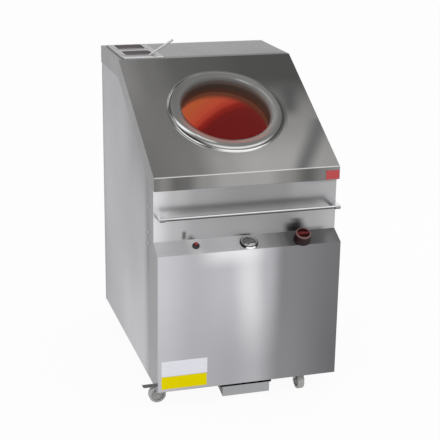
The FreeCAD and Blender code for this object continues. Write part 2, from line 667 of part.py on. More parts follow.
def make_terminal_cover():
    cover = new_body("element_terminal_cover", "mouth")
    middle = "((outer_loop_radius + inner_loop_radius) / 2)"
    sketch = new_sketch(cover, "XY", "-barrel_bottom")
    add_loop(sketch, box_loop("-terminal_width / 2", f"{middle} - terminal_length / 2",
                              "terminal_width / 2", f"{middle} + terminal_length / 2"))
    pad(cover, sketch, "terminal_depth", back=True)
    hollow(cover, "terminal_sheet", lambda n: n.z > 0.9)


def make_cradle():
    for side, sign in (("left", -1), ("right", 1)):
        plate = new_body(f"cradle_{side}")
        sketch = new_sketch(plate, "YZ", f"{sign} * cradle_spread - cradle_sheet / 2")
        bottom = "-barrel_bottom"
        nose_y = slope_y("-cradle_nose", bottom)
        add_loop(sketch, [
            (nose_y, "base_top"), (slope_y("cradle_back", bottom), "base_top"),
            (slope_y("cradle_back", bottom), slope_z("cradle_back", bottom)),
            (slope_y("-cradle_toe", bottom), slope_z("-cradle_toe", bottom)),
            (slope_y("-cradle_toe", f"toe_height + {bottom}"),
             slope_z("-cradle_toe", f"toe_height + {bottom}")),
            (slope_y("-cradle_nose", f"toe_height + {bottom}"),
             slope_z("-cradle_nose", f"toe_height + {bottom}")),
            (nose_y, slope_z("-cradle_nose", bottom))])
        pad(plate, sketch, "cradle_sheet")


# ---- debris chute, tray and runners ----
def make_debris_path():
    chute = new_body("debris_chute")
    sketch = new_sketch(chute, "YZ")
    half = "chute_width / 2"

    def barrel_floor(y):
        return f"mouth_z + (({y} - mouth_y) * sin(slope_angle) - barrel_bottom) / cos(slope_angle)"

    near, far = f"(outlet_y - {half})", f"(outlet_y + {half})"
    foot = "tray_top + chute_clearance"
    add_loop(sketch, [(near, foot), (far, foot), (far, barrel_floor(far)),
                      (near, barrel_floor(near))])
    pad(chute, sketch, "chute_width", both=True)
    hollow(chute, "chute_sheet", lambda n: abs(n.z) > 0.5)

    tray = new_body("debris_tray")
    sketch = new_sketch(tray, "YZ")
    add_loop(sketch, [
        ("tray_front", "tray_floor"), ("tray_front + tray_nose", "tray_floor + tray_rise"),
        ("tray_back", "tray_floor + tray_rise"), ("tray_back", "tray_top"),
        ("tray_front", "tray_top")])
    pad(tray, sketch, "tray_width", both=True)
    hollow(tray, "tray_sheet", lambda n: n.z > 0.9)
    lips = new_sketch(tray, "XY", "tray_top")
    for sign in (-1, 1):
        add_loop(lips, box_loop(f"{sign} * (tray_width / 2 - tray_sheet / 2)", "tray_front",
                                f"{sign} * lip_edge", "tray_back"))
    pad(tray, lips, "tray_sheet", back=True)

    for side, sign in (("left", -1), ("right", 1)):
        runner = new_body(f"tray_runner_{side}")
        sketch = new_sketch(runner, "XZ", "-tray_back + runner_inset")
        shelf = "(tray_top - tray_sheet)"
        outline = [
            ("runner_web - runner_shelf", f"{shelf} - runner_sheet"),
            ("runner_web + runner_sheet", f"{shelf} - runner_sheet"),
            ("runner_web + runner_sheet", "base_height - runner_sheet"),
            ("runner_web + runner_flange", "base_height - runner_sheet"),
            ("runner_web + runner_flange", "base_height"),
            ("runner_web", "base_height"), ("runner_web", shelf),
            ("runner_web - runner_shelf", shelf)]
        add_loop(sketch, [(f"{sign} * ({x})", z) for x, z in outline])
        pad(runner, sketch, "tray_length - 2 * runner_inset")


# ---- controls ----
def make_controls():
    body = new_body("thermostat_body", "strip")
    sketch = new_sketch(body, "XY", "-cover_sheet")
    half = "thermostat_width / 2"
    add_loop(sketch, box_loop(f"knob_x - {half}", f"-knob_along - {half}",
                              f"knob_x + {half}", f"-knob_along + {half}"))
    pad(body, sketch, "thermostat_depth", back=True)
    bush = new_sketch(body, "XY", "-cover_sheet")
    add_circles(bush, [("knob_x", "-knob_along", "bush_radius")])
    pad(body, bush, "cover_sheet + bush_height")
    bore = new_sketch(body, "XY", "bush_height")
    add_circles(bore, [("knob_x", "-knob_along", "shaft_radius + shaft_clearance")])
    pocket(body, bore, "bush_height + cover_sheet + shaft_into_body + bore_depth_spare",
           both=False)

    shaft = new_body("thermostat_shaft", "strip")
    sketch = new_sketch(shaft, "XY", "-cover_sheet - shaft_into_body")
    add_circles(sketch, [("knob_x", "-knob_along", "shaft_radius")])
    pad(shaft, sketch, "cover_sheet + shaft_into_body + knob_lift + shaft_into_knob")

    knob = keep(doc.addObject("PartDesign::Body", "thermostat_knob"), "thermostat_knob")
    place(knob, x="knob_x", y="front + panel_setback - knob_along * cos(strip_angle)",
          z="strip_top - knob_along * sin(strip_angle)", axis=(1, 0, 0), angle="strip_angle")
    hub = "shaft_radius"
    seat = "knob_lift + shaft_into_knob"
    recess = "bush_height + knob_lift"
    revolve(knob, [
        ("0", seat), (hub, seat), (hub, recess), ("bush_radius + bush_clearance", recess),
        ("bush_radius + bush_clearance", "knob_lift"), ("knob_skirt_radius", "knob_lift"),
        ("knob_skirt_radius", "knob_lift + knob_skirt_height"),
        ("knob_radius + knob_flare", "knob_lift + knob_skirt_height + knob_step"),
        ("knob_radius", "knob_height - knob_rim", "knob_rim", 1),
        ("knob_radius - knob_rim", "knob_height"), ("0", "knob_height")])
    grip = new_sketch(knob, "XY", "knob_height")
    reach = "(knob_radius - 2 * knob_rim)"
    edge = "(knob_grip_width / 2)"
    chord = f"sqrt({reach}^2 - {edge}^2)"
    for sign in (1, -1):
        add_loop(grip, [(f"{sign} * {chord}", f"{sign} * {edge}", reach, 1),
                        (f"{-sign} * {chord}", f"{sign} * {edge}")])
    pocket(knob, grip, "knob_grip_depth", both=False)

    collar = keep(doc.addObject("PartDesign::Body", "button_collar"), "button_collar")
    button = keep(doc.addObject("PartDesign::Body", "push_button"), "push_button")
    for piece in (collar, button):
        place(piece, x="-button_x", y="front + panel_setback - button_along * cos(strip_angle)",
              z="strip_top - button_along * sin(strip_angle)", axis=(1, 0, 0),
              angle="strip_angle")
    bore = "button_radius + button_gap"
    revolve(collar, [
        (bore, "-collar_depth"), ("collar_neck_radius", "-collar_depth"), ("collar_neck_radius", "0"),
        ("collar_radius", "0"), ("collar_radius", "collar_height - collar_round",
                                 "collar_round", 1),
        ("collar_radius - collar_round", "collar_height"), (bore, "collar_height")])
    switch = new_body("button_switch", "strip")
    sketch = new_sketch(switch, "XY", "-collar_depth")
    half = "switch_width / 2"
    add_loop(sketch, box_loop(f"-button_x - {half}", f"-button_along - {half}",
                              f"-button_x + {half}", f"-button_along + {half}"))
    pad(switch, sketch, "switch_depth", back=True)
    revolve(button, [
        ("0", "-button_tail"), ("button_radius", "-button_tail"),
        ("button_radius", "button_height - button_round", "button_round", 1),
        ("button_radius - button_round", "button_height"), ("0", "button_height")])


def make_gauge():
    pieces = {}
    for label in ("gauge_case", "gauge_bezel", "gauge_face", "gauge_needle", "gauge_glass"):
        pieces[label] = keep(doc.addObject("PartDesign::Body", label), label)
        place(pieces[label], y="front + panel_setback - gauge_along * cos(strip_angle)",
              z="strip_top - gauge_along * sin(strip_angle)", axis=(1, 0, 0),
              angle="strip_angle")
    inner = "(case_radius - case_sheet)"
    revolve(pieces["gauge_case"], [
        ("0", "-case_depth - nipple_length"), ("nipple_radius", "-case_depth - nipple_length"),
        ("nipple_radius", "-case_depth"), ("case_radius", "-case_depth"), ("case_radius", "0"),
        (inner, "0"), (inner, "-case_depth + case_sheet"), ("0", "-case_depth + case_sheet")])
    lip = "glass_height + glass_sheet"
    revolve(pieces["gauge_bezel"], [
        (inner, "0"), ("bezel_radius", "0"),
        ("bezel_radius", "bezel_height - bezel_round", "bezel_round", 1),
        ("bezel_radius - bezel_round", "bezel_height"), (f"{inner} - bezel_lip", "bezel_height"),
        (f"{inner} - bezel_lip", lip), (inner, lip)])
    revolve(pieces["gauge_face"], [
        ("0", "-face_depth"), (inner, "-face_depth"), (inner, "-face_depth + glass_sheet"),
        ("0", "-face_depth + glass_sheet")])
    revolve(pieces["gauge_glass"], [
        ("0", "glass_height"), (inner, "glass_height"), (inner, lip), ("0", lip)])
    needle = pieces["gauge_needle"]
    level = "-face_depth + glass_sheet + needle_gap"
    sketch = new_sketch(needle, "XY", level)
    tail, tip = "(-needle_length * 0.3)", "needle_length"
    add_loop(sketch, [
        (f"{x} * cos(needle_rest) - {y} * sin(needle_rest)",
         f"{x} * sin(needle_rest) + {y} * cos(needle_rest)")
        for x, y in (("needle_width / 2", tail), ("needle_tip_width / 2", tip),
                     ("(-needle_tip_width / 2)", tip), ("(-needle_width / 2)", tail))])
    pad(needle, sketch, "needle_sheet")
    hub = new_sketch(needle, "XY", f"{level} - needle_gap + hole_clearance")
    add_circles(hub, [("0", "0", "needle_hub_radius")])
    pad(needle, hub, "needle_gap + needle_sheet + needle_cap")


# ---- towel rail ----
def make_rail():
    rail = new_body("towel_rail")
    sketch = new_sketch(rail, "YZ")
    add_circles(sketch, [("rail_y", "rail_height", "rail_radius")])
    pad(rail, sketch, "2 * (bracket_outer - bracket_width + rail_seat)", both=True)
    for side, sign in (("left", -1), ("right", 1)):
        bracket = new_body(f"rail_bracket_{side}")
        start = "-bracket_outer" if sign < 0 else "bracket_outer - bracket_width"
        sketch = new_sketch(bracket, "YZ", start)
        nose, low, high = "rail_y", "rail_height - bracket_height / 2", \
            "rail_height + bracket_height / 2"
        add_loop(sketch, [(nose, high, "half", 1), (nose, low),
                          ("panel_setback", low), ("panel_setback", high)])
        pad(bracket, sketch, "bracket_width")
        seat = new_sketch(bracket, "YZ", f"{sign} * (bracket_outer - bracket_width)")
        add_circles(seat, [("rail_y", "rail_height", "rail_radius")])
        pocket(bracket, seat, "rail_seat", back=(sign > 0), both=False)


# ---- spice pans and ladle ----
def pan_start(index):
    return f"(pan_front + {index} * pan_pitch)"


def pan_corners(start, inset):
    return round_loop(f"(-pan_x - pan_width / 2 + {inset})", f"({start} + {inset})",
                      f"(-pan_x + pan_width / 2 - {inset})",
                      f"({start} + pan_length - {inset})", f"(pan_corner - {inset})")


def pan_block(label, start, inset, top):
    """A block with round corners and a rounded foot: a pan's outside, or its hollow."""
    block = new_body(label, kept=False)
    sketch = new_sketch(block, "XY", top)
    add_loop(sketch, pan_corners(start, inset))
    pad(block, sketch, "pan_depth", back=True)
    floor = amount(f"{top} - pan_depth")
    round_edges(block, f"pan_foot - {inset}", lambda e: abs(e.BoundBox.ZMax - floor) < 1e-3)
    return block


def make_pans():
    frame = new_body("pan_frame")
    sketch = new_sketch(frame, "XY", "deck_height")
    left, right = "-pan_x - frame_width / 2", "-pan_x + frame_width / 2"
    add_loop(sketch, round_loop(left, "frame_front", right, "frame_front + frame_length",
                                "frame_corner"))
    pad(frame, sketch, "frame_height")
    hollow(frame, "frame_sheet", lambda n: n.z < -0.9)
    holes = new_sketch(frame, "XY", "frame_top")
    for index in (0, 1):
        start = pan_start(index)
        add_loop(holes, round_loop(
            "(-pan_x - pan_width / 2 - pan_play)", f"({start} - pan_play)",
            "(-pan_x + pan_width / 2 + pan_play)", f"({start} + pan_length + pan_play)",
            "pan_corner"))
    pocket(frame, holes, "frame_sheet * 3")

    for index, label in enumerate(("front_pan", "rear_pan")):
        outside = pan_block(label + "_outside", pan_start(index), "0", "frame_top")
        rim = new_sketch(outside, "XY", "frame_top")
        add_loop(rim, pan_corners(pan_start(index), "-pan_rim"))
        pad(outside, rim, "pan_sheet")
        inside = pan_block(label + "_inside", pan_start(index), "pan_sheet",
                           "frame_top + pan_sheet")
        pan = keep(doc.addObject("Part::Cut", label), label)
        pan.Base, pan.Tool = outside, inside


def make_ladle():
    """A small ladle: a half-round bowl and a handle that leans out over the pan's rim."""
    ball = doc.addObject("Part::Sphere", "ladle_ball")
    bind(ball, "Radius", "bowl_radius")
    ball.Angle1, ball.Angle2 = -90, 0
    inside = doc.addObject("Part::Sphere", "ladle_inside")
    bind(inside, "Radius", "bowl_radius - bowl_sheet")
    bowl = doc.addObject("Part::Cut", "ladle_bowl")
    bowl.Base, bowl.Tool = ball, inside
    handle = doc.addObject("Part::Cone", "ladle_handle")
    bind(handle, "Radius1", "ladle_radius")
    bind(handle, "Radius2", "ladle_tip_radius")
    bind(handle, "Height", "ladle_length")
    place(handle, x="bowl_radius - bowl_sheet / 2", z="-ladle_radius", axis=(0, 1, 0),
          angle="ladle_lean")
    ladle = keep(doc.addObject("Part::Fuse", "ladle"), "ladle")
    ladle.Base, ladle.Tool = bowl, handle
    place(ladle, x="-pan_x - bowl_shift", y="front + pan_front + bowl_inset", z="bowl_z",
          axis=(0, 0, -1), angle="ladle_turn")


# ---- supply ----
def make_supply():
    gland = keep(doc.addObject("PartDesign::Body", "cable_gland"), "cable_gland")
    place(gland, x="-gland_x", y="front + body_depth - gland_inset", z="base_height")
    nut_top = "base_sheet + gland_nut"
    revolve(gland, [
        ("gland_bore_radius", "-gland_drop"), ("gland_bore_radius + gland_lip", "-gland_drop"),
        ("gland_flange_radius - gland_step", "-gland_drop + gland_cone"),
        ("gland_flange_radius - gland_step", "-gland_nut"),
        ("gland_flange_radius", "-gland_nut"), ("gland_flange_radius", "0"), ("gland_thread_radius", "0"),
        ("gland_thread_radius", "base_sheet"), ("gland_flange_radius", "base_sheet"),
        ("gland_flange_radius", nut_top), ("gland_thread_radius", nut_top),
        ("gland_thread_radius", f"{nut_top} + gland_collar"),
        ("gland_bore_radius", f"{nut_top} + gland_collar")])

    stud = keep(doc.addObject("PartDesign::Body", "bonding_stud"), "bonding_stud")
    place(stud, x="stud_x", y="front + body_depth - gland_inset", z="base_height")
    revolve(stud, [
        ("0", "-stud_drop"), ("stud_radius", "-stud_drop"), ("stud_radius", "-stud_nut_height"),
        ("stud_nut_radius", "-stud_nut_height"), ("stud_nut_radius", "0"), ("stud_radius", "0"),
        ("stud_radius", "base_sheet"), ("stud_nut_radius", "base_sheet"),
        ("stud_nut_radius", "base_sheet + stud_head_height"),
        ("0", "base_sheet + stud_head_height")])

    block = new_body("terminal_block")
    sketch = new_sketch(block, "XZ", "-body_depth + panel_sheet")
    half = "block_width / 2"
    add_loop(sketch, box_loop(f"-block_x - {half}", "block_z", f"-block_x + {half}",
                              "block_z + block_height"))
    pad(block, sketch, "block_depth")
    wells = new_sketch(block, "XZ", "-body_depth + panel_sheet + block_depth")
    add_circles(wells, [("-block_x - block_pitch * (block_ways - 1) / 2",
                         "block_z + block_height / 2", "block_screw_radius")])
    cut = pocket(block, wells, "block_depth / 2", both=False)
    ways = block.newObject("PartDesign::LinearPattern", "ways")
    ways.Originals = [cut]
    ways.Direction = (wells, ["H_Axis"])
    bind(ways, "Length", "block_pitch * (block_ways - 1)")
    bind(ways, "Occurrences", "block_ways")
    block.Tip = ways
    doc.recompute()
    cuts.append((ways, cut))


# ---- castors ----
def make_castor(name, pivot_x, pivot_y, turn, braked):
    """Fork, wheel and axle, built with the pivot at the origin and trailing to +x."""
    def set_out(label, reach="0", height="0"):
        piece = keep(doc.addObject("PartDesign::Body", label), label)
        if turn:
            piece.Placement = Placement(Vector(), Rotation(Vector(0, 0, 1), turn))
        dx = round(math.cos(math.radians(turn)))
        dy = round(math.sin(math.radians(turn)))
        bind(piece, "Placement.Base.x", f"{pivot_x} + {dx} * {reach}")
        bind(piece, "Placement.Base.y", f"front + {pivot_y} + {dy} * {reach}")
        bind(piece, "Placement.Base.z", height)
        return piece

    fork = set_out(f"castor_fork_{name}")
    sketch = new_sketch(fork, "XZ")
    add_loop(sketch, [
        ("-crown_radius", "crown_height"), ("-crown_radius", "crown_height - crown_depth"),
        ("castor_trail - fork_cheek", "wheel_radius", "half", 1),
        ("castor_trail + fork_cheek", "wheel_radius"),
        ("castor_trail + fork_cheek", "pedal_pivot_z"),
        ("castor_trail + fork_ear / 2", "pedal_pivot_z + fork_ear"),
        ("castor_trail - fork_ear / 2", "crown_height")])
    pad(fork, sketch, "2 * fork_half", both=True)
    slot = new_sketch(fork, "XZ")
    add_loop(slot, box_loop("-2 * crown_radius", "-fork_gap", "castor_trail * 3",
                            "crown_height - fork_sheet"))
    pocket(fork, slot, "fork_width")
    king = new_sketch(fork, "XY", "crown_height")
    add_circles(king, [("0", "0", "king_radius + king_clearance")])
    pocket(fork, king, "fork_sheet * 4")
    holes = new_sketch(fork, "XZ")
    spots = [("castor_trail", "wheel_radius", "axle_radius")]
    if braked:
        spots.append(("pedal_pivot_x", "pedal_pivot_z", "pedal_pin_radius + pin_clearance"))
    add_circles(holes, spots)
    pocket(fork, holes, "fork_half * 3")

    wheel = set_out(f"castor_wheel_{name}", "castor_trail", "wheel_radius")
    hub, web, tread = "(fork_width / 2 - fork_gap)", "(wheel_web / 2)", "(tread_width / 2)"
    half = [(hub, "wheel_bore"), (hub, "wheel_hub"), (web, "wheel_hub + web_taper"),
            (web, "wheel_rim - web_taper"), (tread, "wheel_rim"),
            (tread, "wheel_radius - tread_round", "tread_round", 1)]
    other = [(f"-{hub}", "wheel_bore"), (f"-{hub}", "wheel_hub"), (f"-{web}", "wheel_hub + web_taper"),
             (f"-{web}", "wheel_rim - web_taper"), (f"-{tread}", "wheel_rim"),
             (f"-{tread}", "wheel_radius - tread_round")]
    tops = [(f"{tread} - tread_round", "wheel_radius"),
            (f"-{tread} + tread_round", "wheel_radius", "tread_round", 1)]
    revolve(wheel, half + tops + other[::-1], axis="H_Axis", plane="YZ")

    axle = set_out(f"castor_axle_{name}", "castor_trail", "wheel_radius")
    end = "(fork_half + axle_head_height)"
    revolve(axle, [
        (f"-{end}", "0"), (end, "0"), (end, "axle_head_radius"), ("fork_half", "axle_head_radius"),
        ("fork_half", "axle_radius"), ("-fork_half", "axle_radius"), ("-fork_half", "axle_head_radius"),
        (f"-{end}", "axle_head_radius")], axis="H_Axis", plane="YZ")

    if braked:
        pedal = set_out(f"brake_pedal_{name}")
        sketch = new_sketch(pedal, "XZ")
        x, z, top = "pedal_pivot_x", "pedal_pivot_z", "pedal_pivot_z - pedal_drop"
        under = f"{top} - pedal_sheet"
        add_loop(sketch, [
            (x, f"{z} + pedal_hub_radius", "half", 1), (x, f"{z} - pedal_hub_radius"),
            (f"{x} + pedal_step", under), ("pedal_reach - pedal_lip", under),
            ("pedal_reach", f"{under} + pedal_lip"), ("pedal_reach", f"{top} + pedal_lip"),
            ("pedal_reach - pedal_lip", top), (f"{x} + pedal_step", top)])
        pad(pedal, sketch, "pedal_width", both=True)
        pin = new_sketch(pedal, "XZ")
        add_circles(pin, [(x, z, "pedal_pin_radius")])
        pad(pedal, pin, "2 * fork_half", both=True)


def make_castors():
    plates = new_body("castor_plates")
    rectangles = new_sketch(plates, "XY", "plate_foot")
    bosses = new_sketch(plates, "XY", "plate_foot")
    kings = new_sketch(plates, "XY", "plate_foot")
    for x, y, _ in castors.values():
        half = "plate_width / 2"
        add_loop(rectangles, box_loop(f"({x} - {half})", f"({y} - {half})",
                                      f"({x} + {half})", f"({y} + {half})"))
        add_circles(bosses, [(x, y, "crown_radius - boss_margin")])
        add_circles(kings, [(x, y, "king_radius")])
    pad(plates, rectangles, "plate_sheet")
    pad(plates, bosses, "plate_foot - crown_height - fork_gap", back=True)
    pad(plates, kings, "plate_foot - crown_height + king_length", back=True)
    holes = new_sketch(plates, "XY", "plate_foot")
    add_circles(holes, bolt_circles("bolt_radius"))
    pocket(plates, holes, "plate_sheet * 3")

    bolts = new_body("castor_bolts")
    heads = new_sketch(bolts, "XY", "base_top")
    add_circles(heads, bolt_circles("bolt_head_radius"))
    pad(bolts, heads, "bolt_head_height")
    shanks = new_sketch(bolts, "XY", "base_top")
    add_circles(shanks, bolt_circles("bolt_radius"))
    pad(bolts, shanks, "base_sheet + plate_sheet", back=True)

    for name, (x, y, turn) in castors.items():
        make_castor(name, x, y, turn, braked=name in ("front_left", "rear_right"))


make_base()
make_front_cover()
make_hood()
make_side_panels()
make_back_panel()
make_screws()
make_mouth()
make_pot()
make_element("heating_element_outer", "outer_loop_radius")
make_element("heating_element_inner", "inner_loop_radius")
make_terminal_cover()
make_cradle()
make_debris_path()
make_controls()
make_gauge()
make_rail()
make_pans()
make_ladle()
make_supply()
make_castors()
doc.recompute()

for item in doc.Objects:
    if "Invalid" in item.State or "Error" in item.State:
        raise RuntimeError(f"{item.Label} failed: {item.State}")
for feature, before in cuts:
    if feature.Shape.Volume > before.Shape.Volume - 1e-3:
        raise RuntimeError(f"{feature.Label} of {feature.getParentGeoFeatureGroup().Label}"
                           " cuts nothing")
os.makedirs("parts", exist_ok=True)
for node in nodes:
    shape = node.Shape
    if shape.isNull() or not shape.isValid() or not shape.Solids:
        raise RuntimeError(f"{node.Label} has no valid solid")
    shape.exportStep(f"parts/{node.Label}.step")
print(f"{len(nodes)} sub-parts written")
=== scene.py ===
import math

import bpy
import numpy as np
from mathutils import Matrix, Vector


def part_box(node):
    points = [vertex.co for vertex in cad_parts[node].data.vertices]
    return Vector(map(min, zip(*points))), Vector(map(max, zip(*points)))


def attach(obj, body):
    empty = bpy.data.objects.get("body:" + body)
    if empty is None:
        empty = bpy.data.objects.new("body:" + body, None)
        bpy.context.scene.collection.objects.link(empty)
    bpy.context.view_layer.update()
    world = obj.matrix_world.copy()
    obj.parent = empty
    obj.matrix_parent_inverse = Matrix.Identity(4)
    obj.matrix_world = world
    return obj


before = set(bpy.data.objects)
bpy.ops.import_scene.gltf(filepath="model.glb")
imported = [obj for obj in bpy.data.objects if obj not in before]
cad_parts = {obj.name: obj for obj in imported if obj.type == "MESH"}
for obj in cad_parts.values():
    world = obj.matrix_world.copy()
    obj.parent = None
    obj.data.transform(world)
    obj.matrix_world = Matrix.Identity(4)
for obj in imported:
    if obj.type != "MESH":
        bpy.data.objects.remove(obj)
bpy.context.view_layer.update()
print("frame loaded:", len(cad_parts), "nodes")

# Shader tools. A value may be a number, a colour or another node's output.


def colour(code):
    # a written sRGB colour as the linear one that shaders take
    values = [int(code[i:i + 2], 16) / 255 for i in (0, 2, 4)]
    return [*(v / 12.92 if v <= 0.04045 else ((v + 0.055) / 1.055) ** 2.4 for v in values), 1.0]


def grey(lightness):
    return colour(f"{round(255 * lightness):02x}" * 3)


def addNode(tree, kind, inputs=None, **settings):
    made = tree.nodes.new(kind)
    for key, value in settings.items():
        setattr(made, key, value)
    for key, value in (inputs or {}).items():
        if isinstance(value, bpy.types.NodeSocket):
            tree.links.new(value, made.inputs[key])
        else:
            made.inputs[key].default_value = value
    return made


def maths(tree, operation, first, second=0.0):
    return addNode(tree, "ShaderNodeMath", {0: first, 1: second}, operation=operation).outputs[0]


def distance(tree, first, second):
    squares = [maths(tree, "MULTIPLY", side, side) for side in (first, second)]
    return maths(tree, "SQRT", maths(tree, "ADD", *squares))


def mix(tree, share, first, second, kind="MIX"):
    # inputs 6 and 7 are a mix node's two colours
    return addNode(tree, "ShaderNodeMix", {0: share, 6: first, 7: second}, data_type="RGBA",
                   blend_type=kind).outputs[2]


def dot(tree, vector, axis):
    return addNode(tree, "ShaderNodeVectorMath", {0: vector, 1: axis},
                   operation="DOT_PRODUCT").outputs["Value"]


def mapped(tree, value, source, target):
    # carries a value from one range to another in a straight line, and stops at its ends
    return addNode(tree, "ShaderNodeMapRange",
                   {"Value": value, "From Min": source[0], "From Max": source[1],
                    "To Min": target[0], "To Max": target[1]}).outputs[0]


def fade(tree, value, low, high):
    # 0 below low, 1 above high, smooth between; low may be the greater one
    return addNode(tree, "ShaderNodeMapRange",
                   {"Value": value, "From Min": low, "From Max": high},
                   interpolation_type="SMOOTHSTEP").outputs[0]


def ramp(tree, value, stops):
    # colour that changes along a value; stops are (place, colour)
    low, high = stops[0][0], stops[-1][0]
    made = addNode(tree, "ShaderNodeValToRGB", {"Fac": mapped(tree, value, (low, high), (0, 1))})
    elements = made.color_ramp.elements
    made.color_ramp.interpolation = "EASE"
    while len(elements) < len(stops):
        elements.new(1.0)
    for element, (place, shade) in zip(elements, stops):
        element.position = (place - low) / (high - low)
        element.color = shade
    return made.outputs["Color"]


def tones(tree, value, stops):
    # soft bands of grey along a value; stops are (place, lightness)
    return ramp(tree, value, [(place, grey(light)) for place, light in stops])


def shades(tree, value, stops):
    # soft bands of colour along a value; stops are (place, written colour)
    return ramp(tree, value, [(place, colour(code)) for place, code in stops])


def placeAlong(tree, place, origin, axes):
    # how far a point lies from an origin along each axis
    origin = np.array(origin, float)
    return [maths(tree, "SUBTRACT", dot(tree, place.outputs["Object"], axis),
                  float(origin @ np.array(axis))) for axis in axes]


def newMaterial(name):
    material = bpy.data.materials.new(name)
    material.use_nodes = True
    tree = material.node_tree
    return material, tree, tree.nodes["Principled BSDF"], addNode(tree, "ShaderNodeTexCoord")


sockets = {"base": "Base Color", "glow": "Emission Color", "emission": "Emission Strength",
           "metallic": "Metallic", "roughness": "Roughness", "specular": "Specular IOR Level",
           "ior": "IOR", "alpha": "Alpha", "coat": "Coat Weight", "sheen": "Sheen Weight"}


def finishShader(tree, shader, **values):
    for key, value in values.items():
        socket = shader.inputs[sockets[key]]
        if isinstance(value, bpy.types.NodeSocket):
            tree.links.new(value, socket)
        else:
            socket.default_value = value


def addBump(tree, shader, height, strength, depth, **more):
    bump = addNode(tree, "ShaderNodeBump",
                   {"Strength": strength, "Distance": depth, "Height": height, **more})
    tree.links.new(bump.outputs[0], shader.inputs["Normal"])


def useMaterial(material, *names):
    # the frame's nodes keep their mesh and take this material in every slot
    for name in names:
        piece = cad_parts[name]
        if not piece.material_slots:
            piece.data.materials.append(material)
        for slot in piece.material_slots:
            slot.material = material


def named(*starts):
    return [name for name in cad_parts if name.startswith(starts)]


# shared by all rubbed and cast surfaces: their noise, the part of its range that counts,
# how far the tone follows it, and how deep its dents are
rubbing = {"noise": {"Scale": 1.0, "Detail": 4.0, "Roughness": 0.6}, "cloudDetail": 3.0,
           "spread": (0.3, 0.7), "tone": (0.97, 1.03), "depth": 0.0005, "edgeSamples": 4}


def rubbedSurface(tree, shader, place, look):
    # grain of a rubbed or cast surface: fine noise, stretched by look["grain"] along x, y
    # and z, in bump and roughness, with a soft cloud of wear; folded edges catch light
    # over look["fold"]
    stretched = addNode(tree, "ShaderNodeMapping",
                        {"Vector": place.outputs["Object"], "Scale": look["grain"]})
    grain = addNode(tree, "ShaderNodeTexNoise",
                    {"Vector": stretched.outputs[0], **rubbing["noise"]}).outputs["Fac"]
    cloud = addNode(tree, "ShaderNodeTexNoise",
                    {"Vector": place.outputs["Object"], "Scale": look["cloud"],
                     "Detail": rubbing["cloudDetail"]}).outputs["Fac"]
    mean = maths(tree, "MULTIPLY", maths(tree, "ADD", grain, cloud), 0.5)
    finishShader(tree, shader,
                 roughness=mapped(tree, mean, rubbing["spread"], look["roughness"]))
    edge = addNode(tree, "ShaderNodeBevel", {"Radius": look["fold"]},
                   samples=rubbing["edgeSamples"])
    addBump(tree, shader, grain, look["bump"], rubbing["depth"], Normal=edge.outputs[0])
    return grain, cloud


def mottled(tree, shader, place, look):
    # two close tones in a fine noise that may also dent the surface a little
    noise = addNode(tree, "ShaderNodeTexNoise",
                    {"Vector": place.outputs["Object"], **look["noise"]}).outputs["Fac"]
    if "bump" in look:
        addBump(tree, shader, noise, *look["bump"])
    return shades(tree, noise, list(zip(look["spread"], look["tones"])))


def placePiece(name, mesh, material, body):
    piece = bpy.data.objects.new(name, mesh)
    bpy.context.scene.collection.objects.link(piece)
    mesh.materials.clear()
    mesh.materials.append(material)
    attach(piece, body)


def buildPiece(name, points, faces, material, body):
    # points is an array of n by 3, faces a list of index rows
    mesh = bpy.data.meshes.new(name)
    mesh.from_pydata(points.tolist(), [], faces)
    mesh.validate()
    mesh.update()
    placePiece(name, mesh, material, body)


# Camera: where it stands, how it is turned in degrees, its focal length in pixels of a
# square frame, and its sensor in millimetres.

camera = {"place": (-1.2619, -4.2326, 1.9924), "yaw": 16.92, "pitch": 17.90, "roll": 0.83,
          "focus": 1151.75, "frame": 440, "sensor": 36, "far": 60}


def makeCamera(look):
    yaw, pitch, roll = (math.radians(look[k]) for k in ("yaw", "pitch", "roll"))
    ahead = np.array([math.sin(yaw) * math.cos(pitch), math.cos(yaw) * math.cos(pitch),
                      -math.sin(pitch)])
    right = np.array([math.cos(yaw), -math.sin(yaw), 0.0])
    above = np.cross(right, ahead)
    across = right * math.cos(roll) + above * math.sin(roll)
    up = -right * math.sin(roll) + above * math.cos(roll)
    data = bpy.data.cameras.new("camera")
    data.sensor_width = look["sensor"]
    data.lens = look["sensor"] * look["focus"] / look["frame"]
    data.clip_end = look["far"]
    piece = bpy.data.objects.new("camera", data)
    bpy.context.scene.collection.objects.link(piece)
    turn = Matrix(np.stack([across, up, -ahead], 1).tolist()).to_4x4()
    piece.matrix_world = Matrix.Translation(look["place"]) @ turn
    bpy.context.scene.camera = piece


makeCamera(camera)
print("camera set")

# Where the sheet metal folds, in metres and degrees.

sizes = {"stripAngle": 26.2, "panelSetback": 0.067, "stripTop": 0.637,
         "slopeAngle": 28.8, "lipHeight": 0.048, "mouthAlong": 0.339}
stripTilt, slopeTilt = (math.radians(sizes[k]) for k in ("stripAngle", "slopeAngle"))
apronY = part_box("front_cover")[0][1]
panelY = apronY + sizes["panelSetback"]
hoodLow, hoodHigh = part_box("hood")
lipY, lipTop, deckTop = hoodLow[1], hoodLow[2] + sizes["lipHeight"], hoodHigh[2]
deckEdge = lipY + (deckTop - lipTop) / math.tan(slopeTilt)      # where the slope meets the deck
acrossX, upZ, backY = (1.0, 0.0, 0.0), (0.0, 0.0, 1.0), (0.0, 1.0, 0.0)
upSlope = (0.0, math.cos(slopeTilt), math.sin(slopeTilt))
outSlope = (0.0, -math.sin(slopeTilt), math.cos(slopeTilt))
upStrip = (0.0, math.cos(stripTilt), math.sin(stripTilt))
downStrip = (0.0, -math.cos(stripTilt), -math.sin(stripTilt))
outStrip = (0.0, -math.sin(stripTilt), math.cos(stripTilt))
mouthCentre = np.array([0.0, lipY, lipTop]) + sizes["mouthAlong"] * np.array(upSlope)


